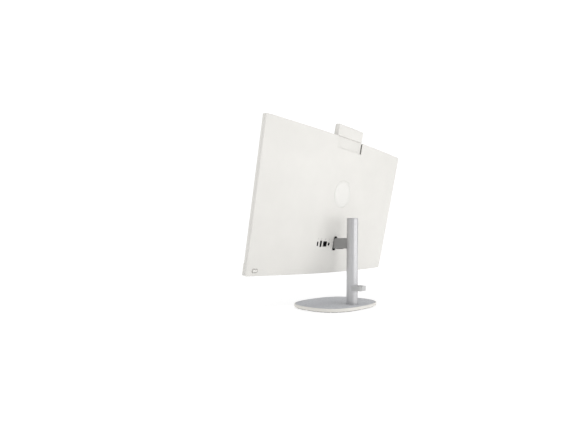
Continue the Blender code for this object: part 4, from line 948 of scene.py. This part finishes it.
def makeFace():
    size = cameraFace
    low, high = panelBox("camera_face")
    middle = middleOf(low, high)
    bm = bmesh.new()
    outline = windowOf("camera_face", 0.0, size["corner"], 5)
    addPrism(bm, outline, "Y", low.y, high.y, size["round"], 4)
    face = finish("camera_front", bm, white, "camera_head", ["camera_face"])
    holes = [(circle(middle, lens["radius"] + gap, 64), "Y", -beyond, beyond)]
    for at in size["micAt"]:
        for side in (-1, 1):
            holes.append((circle((side * at, middle[1]), size["micHole"], 16), "Y", -beyond, beyond))
    light = circle((size["lightAt"], middle[1]), size["lightRadius"], 16)
    holes.append((light, "Y", -beyond, low.y + size["lightDeep"]))
    cutBy(face, [cutter(holes)])
    softenEdges(face, size["soften"], 2, 55)


def makeLens():
    size = lens
    low, high = panelBox("camera_lens")
    middle, radius, steps = middleOf(low, high), size["radius"], size["steps"]
    outer, throat = (radius * share for share in size["cone"])
    floor = low.y + size["floor"]
    bm = bmesh.new()
    addRound(bm, middle, steps, [
        (radius, high.y), (radius, low.y + size["round"]), (radius - size["round"], low.y),
        (outer, low.y), (throat, low.y + size["deep"]), (throat, floor), (radius * size["inner"], floor),
    ])
    wide, start, rise = radius * size["dome"][0], low.y + size["dome"][1], size["dome"][2]
    dome = [(wide, start)]
    for k in range(1, size["domeSteps"]):
        share = math.cos(math.pi / 2 * k / size["domeSteps"])
        dome.append((wide * share, start - rise * math.sqrt(1 - share * share)))
    addRound(bm, middle, steps, dome, 1)
    finish("camera_eye", bm, [black, lensGlass], "camera_head", ["camera_lens"], 40)


def makeCarrier():
    size = carrier
    low, high = panelBox("camera_carrier")
    headLow, headHigh = panelBox("camera_head_shell")
    half, top = headHigh.x, headLow.z - gap
    axisY, axisZ = headHigh.y - camera["axisInset"], headLow.z + camera["axisInset"]
    bm = bmesh.new()
    outline = roundedRect((0.0, (low.y + high.y) / 2), 2 * half, high.y - low.y, size["corner"], 4)
    addPrism(bm, outline, "Z", low.z, top, size["round"], 3)
    earHalf, foot = size["earHalf"], top - size["earFoot"]
    for side in (-1, 1):
        ear = arc((axisY, axisZ), size["earRadius"], 0, 180, 16)
        ear += [(axisY - earHalf, foot), (axisY + earHalf, foot)]
        x = side * camera["earX"]
        addPrism(bm, ear, "X", x - earHalf, x + earHalf, size["earRound"], 2)
        xs = sorted((side * (half - size["ribIn"]), side * high.x))
        (near, far), (under, over) = size["ribDepth"], size["ribUp"]
        addBox(bm, (xs[0], near, low.z + under), (xs[1], far, low.z + over), size["ribRound"])
    finish("camera_slider", bm, white, "camera_slider", ["camera_carrier"])


makeHead()
makeFace()
makeLens()
makeCarrier()
print("camera made")

# the tilt arm: a painted blade whose head narrows into the cover

arm = {
    "nose": 0.0080, "noseWidth": 0.0108, "shoulder": (0.0104, 0.0190), "above": (0.0190, 0.0060),
    "below": (0.0130, 0.0040), "round": 0.0011, "bore": 0.0033, "inside": 0.0073, "skin": 0.0001,
    "past": 0.001, "flankSteps": 12, "soften": 0.0003,
    "pad": (0.0045, 0.0012, 0.0200, 0.0380), "padIn": 0.0006, "padRound": 0.0005,
}
hinge = Vector(joints["display_tilt"]["pos_m"])
poleLow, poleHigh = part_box("pole_tube")
poleAxis = (0.0, (poleLow.y + poleHigh.y) / 2)
poleRadius = poleHigh.x


def makeArm():
    size = arm
    low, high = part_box("tilt_arm")
    y, z, wide, half = hinge.y, hinge.z, high.x, (high.z - low.z) / 2
    end = poleAxis[1] - size["inside"]
    (topBack, topRound), (lowBack, lowRound) = size["above"], size["below"]
    side = [(end, z + half)] + arc((y + topBack, z + half - topRound), topRound, 90, 130, 8)
    side += arc((y, z), size["nose"], 125, 235, 24)
    side += arc((y + lowBack, z - half + lowRound), lowRound, 230, 270, 8) + [(end, z - half)]
    bm = bmesh.new()
    addPrism(bm, side, "X", -wide, wide, size["round"], 4)
    blade = finish("arm_blade", bm, armPaint, "stand", ["tilt_arm"])
    start, full = (y + reach for reach in size["shoulder"])
    narrow, broad, steps = size["noseWidth"] / 2, wide + size["skin"], size["flankSteps"]
    flank = [(narrow, y - size["nose"] - size["past"])]
    for k in range(steps + 1):
        turn = math.pi / 2 * k / steps
        x = narrow + (broad - narrow) * math.sin(turn)
        flank.append((x, full - (full - start) * math.cos(turn)))
    flank.append((broad, end + size["past"]))
    plan = flank + [(-x, along) for x, along in reversed(flank)]
    shape = cutter([(plan, "Z", z - half - beyond, z + half + beyond)], False)
    cutBy(blade, [shape], "INTERSECT")
    bore = circle((y, z), size["bore"], 32)
    cutBy(blade, [cutter([(bore, "X", -2 * beyond, 2 * beyond)], False)])
    softenEdges(blade, size["soften"], 2, 50)
    reach, thick, first, last = size["pad"]
    bm = bmesh.new()
    under, over = z - half - thick, z - half + size["padIn"]
    addBox(bm, (-reach, y + first, under), (reach, y + last, over), size["padRound"])
    finish("arm_stop_pad", bm, black, "stand", slot="black_plastic")


# the pole and its cap

pole = {
    "bore": 0.0125, "lip": 0.00025, "steps": 128, "slotIn": 0.0040, "capRound": 0.0009,
    "capDome": 0.00015, "capPlug": 0.004, "soften": 0.0002,
}


def makePole():
    size = pole
    bm = bmesh.new()
    lip, radius, bore = size["lip"], poleRadius, size["bore"]
    bottom, top = poleLow.z, poleHigh.z
    profile = [(bore, bottom), (radius, bottom), (radius, top - lip), (radius - lip, top), (bore, top)]
    addTurned(bm, profile, poleAxis, size["steps"])
    tube = finish("pole", bm, poleMetal, "stand", ["pole_tube"])
    low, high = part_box("tilt_arm")
    wide = high.x + gap
    slot = [(-wide, low.z - gap), (wide, low.z - gap), (wide, high.z + gap), (-wide, high.z + gap)]
    cutBy(tube, [cutter([(slot, "Y", poleLow.y - beyond, poleAxis[1] - size["slotIn"])], False)])
    softenEdges(tube, size["soften"], 2, 60)
    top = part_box("pole_cap")[1].z
    soft, dome = size["capRound"], size["capDome"]
    bottom = poleHigh.z + gap
    plug, under = bore - gap, bottom - size["capPlug"]
    profile = [(0.0, under), (plug, under), (plug, bottom)]
    profile += [(radius - lip, bottom), (radius, bottom + lip)]
    profile += [(radius - inset, top - dome - rise) for rise, inset in reversed(quarterRound(soft, 5))]
    profile += [(radius * 0.6, top - dome * 0.3), (0.0, top)]
    bm = bmesh.new()
    addTurned(bm, profile, poleAxis, size["steps"])
    finish("pole_top", bm, capMetal, "stand", ["pole_cap"])


# the cable clip: an open loop behind the pole

clip = {
    "start": 0.0050, "seat": 0.0022, "wall": 0.0022, "outer": 0.0035, "inner": 0.0015, "slit": 0.0022,
    "slitIn": 0.0038, "slitDepth": 0.0040, "soften": 0.0004, "short": 0.0014, "low": 0.0007,
}


def makeClip():
    size = clip
    low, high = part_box("cable_clip")
    start, end = poleAxis[1] + size["start"], high.y - size["short"]
    half = high.x
    low.z += size["low"]
    high.z -= size["low"]
    bm = bmesh.new()
    outline = roundedRect((0.0, (start + end) / 2), 2 * half, end - start, size["outer"], 8)
    addPrism(bm, outline, "Z", low.z, high.z)
    loop = finish("cable_loop", bm, clipPlastic, "stand", ["cable_clip"])
    below, above = low.z - beyond, high.z + beyond
    first, last = poleAxis[1] + poleRadius + size["seat"], end - size["wall"]
    wide = 2 * (half - size["wall"])
    room = roundedRect((0.0, (first + last) / 2), wide, last - first, size["inner"])
    seat = circle(poleAxis, poleRadius + gap, 96)
    edge, inside, outside = half - size["slitIn"], end - size["slitDepth"], end + beyond
    other = edge - size["slit"]
    slit = [(other, inside), (edge, inside), (edge, outside), (other, outside)]
    cutBy(loop, [cutter([(outline, "Z", below, above)], False) for outline in (room, seat, slit)])
    softenEdges(loop, size["soften"], 3, 45)


makeArm()
makePole()
makeClip()
print("arm, pole and clip made")

# the base: a shallow shell with a rounded rim, and a knit inlay sunk into it

base = {
    "power": 2.66, "steps": 240, "round": 0.0017, "rim": 0.0022, "wall": 0.0032, "web": 0.0012,
    "inlayRound": 0.0006, "soften": 0.0002,
}


def ovalOutline(half, inset, steps):
    points, power = [], 2 / base["power"]
    for k in range(steps):
        across, along = math.cos(math.tau * k / steps), math.sin(math.tau * k / steps)
        x = math.copysign(abs(across) ** power, across) * (half[0] - inset)
        y = math.copysign(abs(along) ** power, along) * (half[1] - inset)
        points.append((x, y))
    return points


def addOval(bm, half, layers):
    outlines = [(ovalOutline(half, inset, base["steps"]), z) for inset, z in layers]
    addRings(bm, [ringOf(bm, outline, "Z", z) for outline, z in outlines])


def makeBase():
    size = base
    low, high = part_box("base_shell")
    half, soft = (high.x, high.y), size["round"]
    inlayLow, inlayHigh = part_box("base_inlay")
    floor = inlayLow.z - gap
    rise = [(inset, low.z + z) for z, inset in quarterRound(soft, 5)]
    rise += [(inset, high.z - z) for z, inset in reversed(quarterRound(soft, 5))]
    bm = bmesh.new()
    addOval(bm, half, rise)
    shell = finish("base_dish", bm, rimWhite, "stand", ["base_shell"])
    tools = []
    above = high.z + beyond
    hollow = (size["wall"], low.z - beyond, floor - size["web"])
    for inset, start, end in ((size["rim"], floor, above), hollow):
        bm = bmesh.new()
        addOval(bm, half, [(inset, start), (inset, end)])
        tools.append(finish("cutter", bm, None))
    hole = circle(poleAxis, poleRadius + gap, 96)
    cutBy(shell, tools + [cutter([(hole, "Z", -beyond, above)], False)])
    softenEdges(shell, size["soften"], 2, 60)
    edge, turn = size["rim"] + gap, size["inlayRound"]
    top = inlayHigh.z
    layers = [(edge, inlayLow.z)]
    layers += [(edge + inset, top - rise) for rise, inset in reversed(quarterRound(turn, 4))]
    bm = bmesh.new()
    addOval(bm, half, layers)
    inlay = finish("knit_pad", bm, knit, "stand", ["base_inlay"])
    cutBy(inlay, [cutter([(hole, "Z", -beyond, top + beyond)], False)])
    smooth(inlay)


makeBase()
print("base made")

# the plain stage, the lights and the camera

view = {
    "focal": 364.21, "place": (0.8681, 0.6140, 0.1662), "yaw": -2.4049, "pitch": -0.0111,
    "roll": 0.0015,
    "middle": (255.2, 251.1), "picture": (573, 430), "sensor": 36.0, "far": 100,
}
stage = {
    "color": (0.50, 0.50, 0.50), "glow": 0.58, "farGlow": 0.84, "near": 0.5, "far": 2.6,
    "sky": 0.45, "skySeen": 1.1, "size": 40.0, "drop": 0.0005,
}
# (name, place, aim, size, watts)
lightPlan = [
    ("key_soft", (-0.66, 1.06, 0.30), (0.0, 0.0, 0.25), (0.80, 0.55), 2.4),
    ("pole_soft", (0.12, 1.14, 0.25), (0.0, 0.0, 0.25), (0.45, 0.40), 1.5),
    ("side_soft", (2.1, -0.75, 0.8), (0.3, 0.0, 0.25), (0.90, 0.90), 5.0),
    ("top_soft", (0.0, 0.3, 2.4), (0.0, 0.3, 0.0), (3.6, 3.6), 46),
]


def makeCamera():
    data = bpy.data.cameras.new("view")
    camera = bpy.data.objects.new("view", data)
    bpy.context.scene.collection.objects.link(camera)
    width, height = view["picture"]
    data.sensor_width = view["sensor"]
    data.lens = view["focal"] * view["sensor"] / width
    data.shift_x = (width / 2 - view["middle"][0]) / width
    data.shift_y = (view["middle"][1] - height / 2) / width
    data.clip_end = view["far"]
    yaw, pitch = view["yaw"], view["pitch"]
    ahead = Vector((math.sin(yaw) * math.cos(pitch), math.cos(yaw) * math.cos(pitch), math.sin(pitch)))
    right = Vector((math.cos(yaw), -math.sin(yaw), 0))
    turn = Matrix((right, right.cross(ahead), -ahead)).transposed().to_4x4()
    roll = Matrix.Rotation(view["roll"], 4, "Z")
    camera.matrix_world = Matrix.Translation(view["place"]) @ turn @ roll
    bpy.context.scene.camera = camera


def makeStage():
    bm = bmesh.new()
    bmesh.ops.create_grid(bm, x_segments=4, y_segments=4, size=stage["size"])
    bmesh.ops.translate(bm, verts=bm.verts, vec=(0, 0, -stage["drop"]))
    paint = mouldedPlastic("floor_pale", stage["color"], 0.9, 0.004, 40, 0.00005)
    nodes = paint.node_tree.nodes
    away = nodes.new("ShaderNodeVectorMath")
    away.operation = "LENGTH"
    setInputs(away, Vector=nodes.new("ShaderNodeTexCoord").outputs["Object"])
    levels = (stage[key] for key in ("glow", "farGlow", "near", "far"))
    glow = span(nodes, away.outputs["Value"], *levels)
    setInputs(nodes["Principled BSDF"], Emission_Color=(1.0, 1.0, 1.0, 1.0), Emission_Strength=glow)
    finish("floor", bm, paint)


def makeLight(name, place, aim, size, power):
    data = bpy.data.lights.new(name, "AREA")
    data.shape = "RECTANGLE"
    data.size, data.size_y = size
    data.energy = power
    light = bpy.data.objects.new(name, data)
    bpy.context.scene.collection.objects.link(light)
    light.location = place
    light.rotation_euler = (Vector(aim) - Vector(place)).to_track_quat("-Z", "Y").to_euler()


# an even sky that the camera sees as plain white
def makeWorld():
    world = bpy.data.worlds.new("studio")
    bpy.context.scene.world = world
    world.use_nodes = True
    nodes, links = world.node_tree.nodes, world.node_tree.links
    mix = nodes.new("ShaderNodeMixShader")
    setInputs(mix, Fac=nodes.new("ShaderNodeLightPath").outputs["Is Camera Ray"])
    dim, plain = nodes["Background"], nodes.new("ShaderNodeBackground")
    for k, (sky, strength) in enumerate(((dim, stage["sky"]), (plain, stage["skySeen"]))):
        setInputs(sky, Color=(1.0, 1.0, 1.0, 1.0), Strength=strength)
        links.new(sky.outputs["Background"], mix.inputs[k + 1])
    links.new(mix.outputs["Shader"], nodes["World Output"].inputs["Surface"])


makeCamera()
makeStage()
for row in lightPlan:
    makeLight(*row)
makeWorld()
bpy.context.scene.view_settings.view_transform = "Standard"
print("stage, lights and camera set")

# finishes of the CAD nodes that stay

nodeFinish = {
    "foot_ring": rubber, "base_weight": paintedSteel, "heatsink_fins": capMetal,
    "lcd_panel": paintedSteel,
    "display_chassis": steel,
}
slotFinish = {"steel": steel, "copper": copper, "circuit_board": board, "white_housing": white}
for name, node in frame["nodes"].items():
    node.data.materials.clear()
    node.data.materials.append(nodeFinish.get(name) or slotFinish.get(slots[name]) or black)
print("CAD nodes finished")
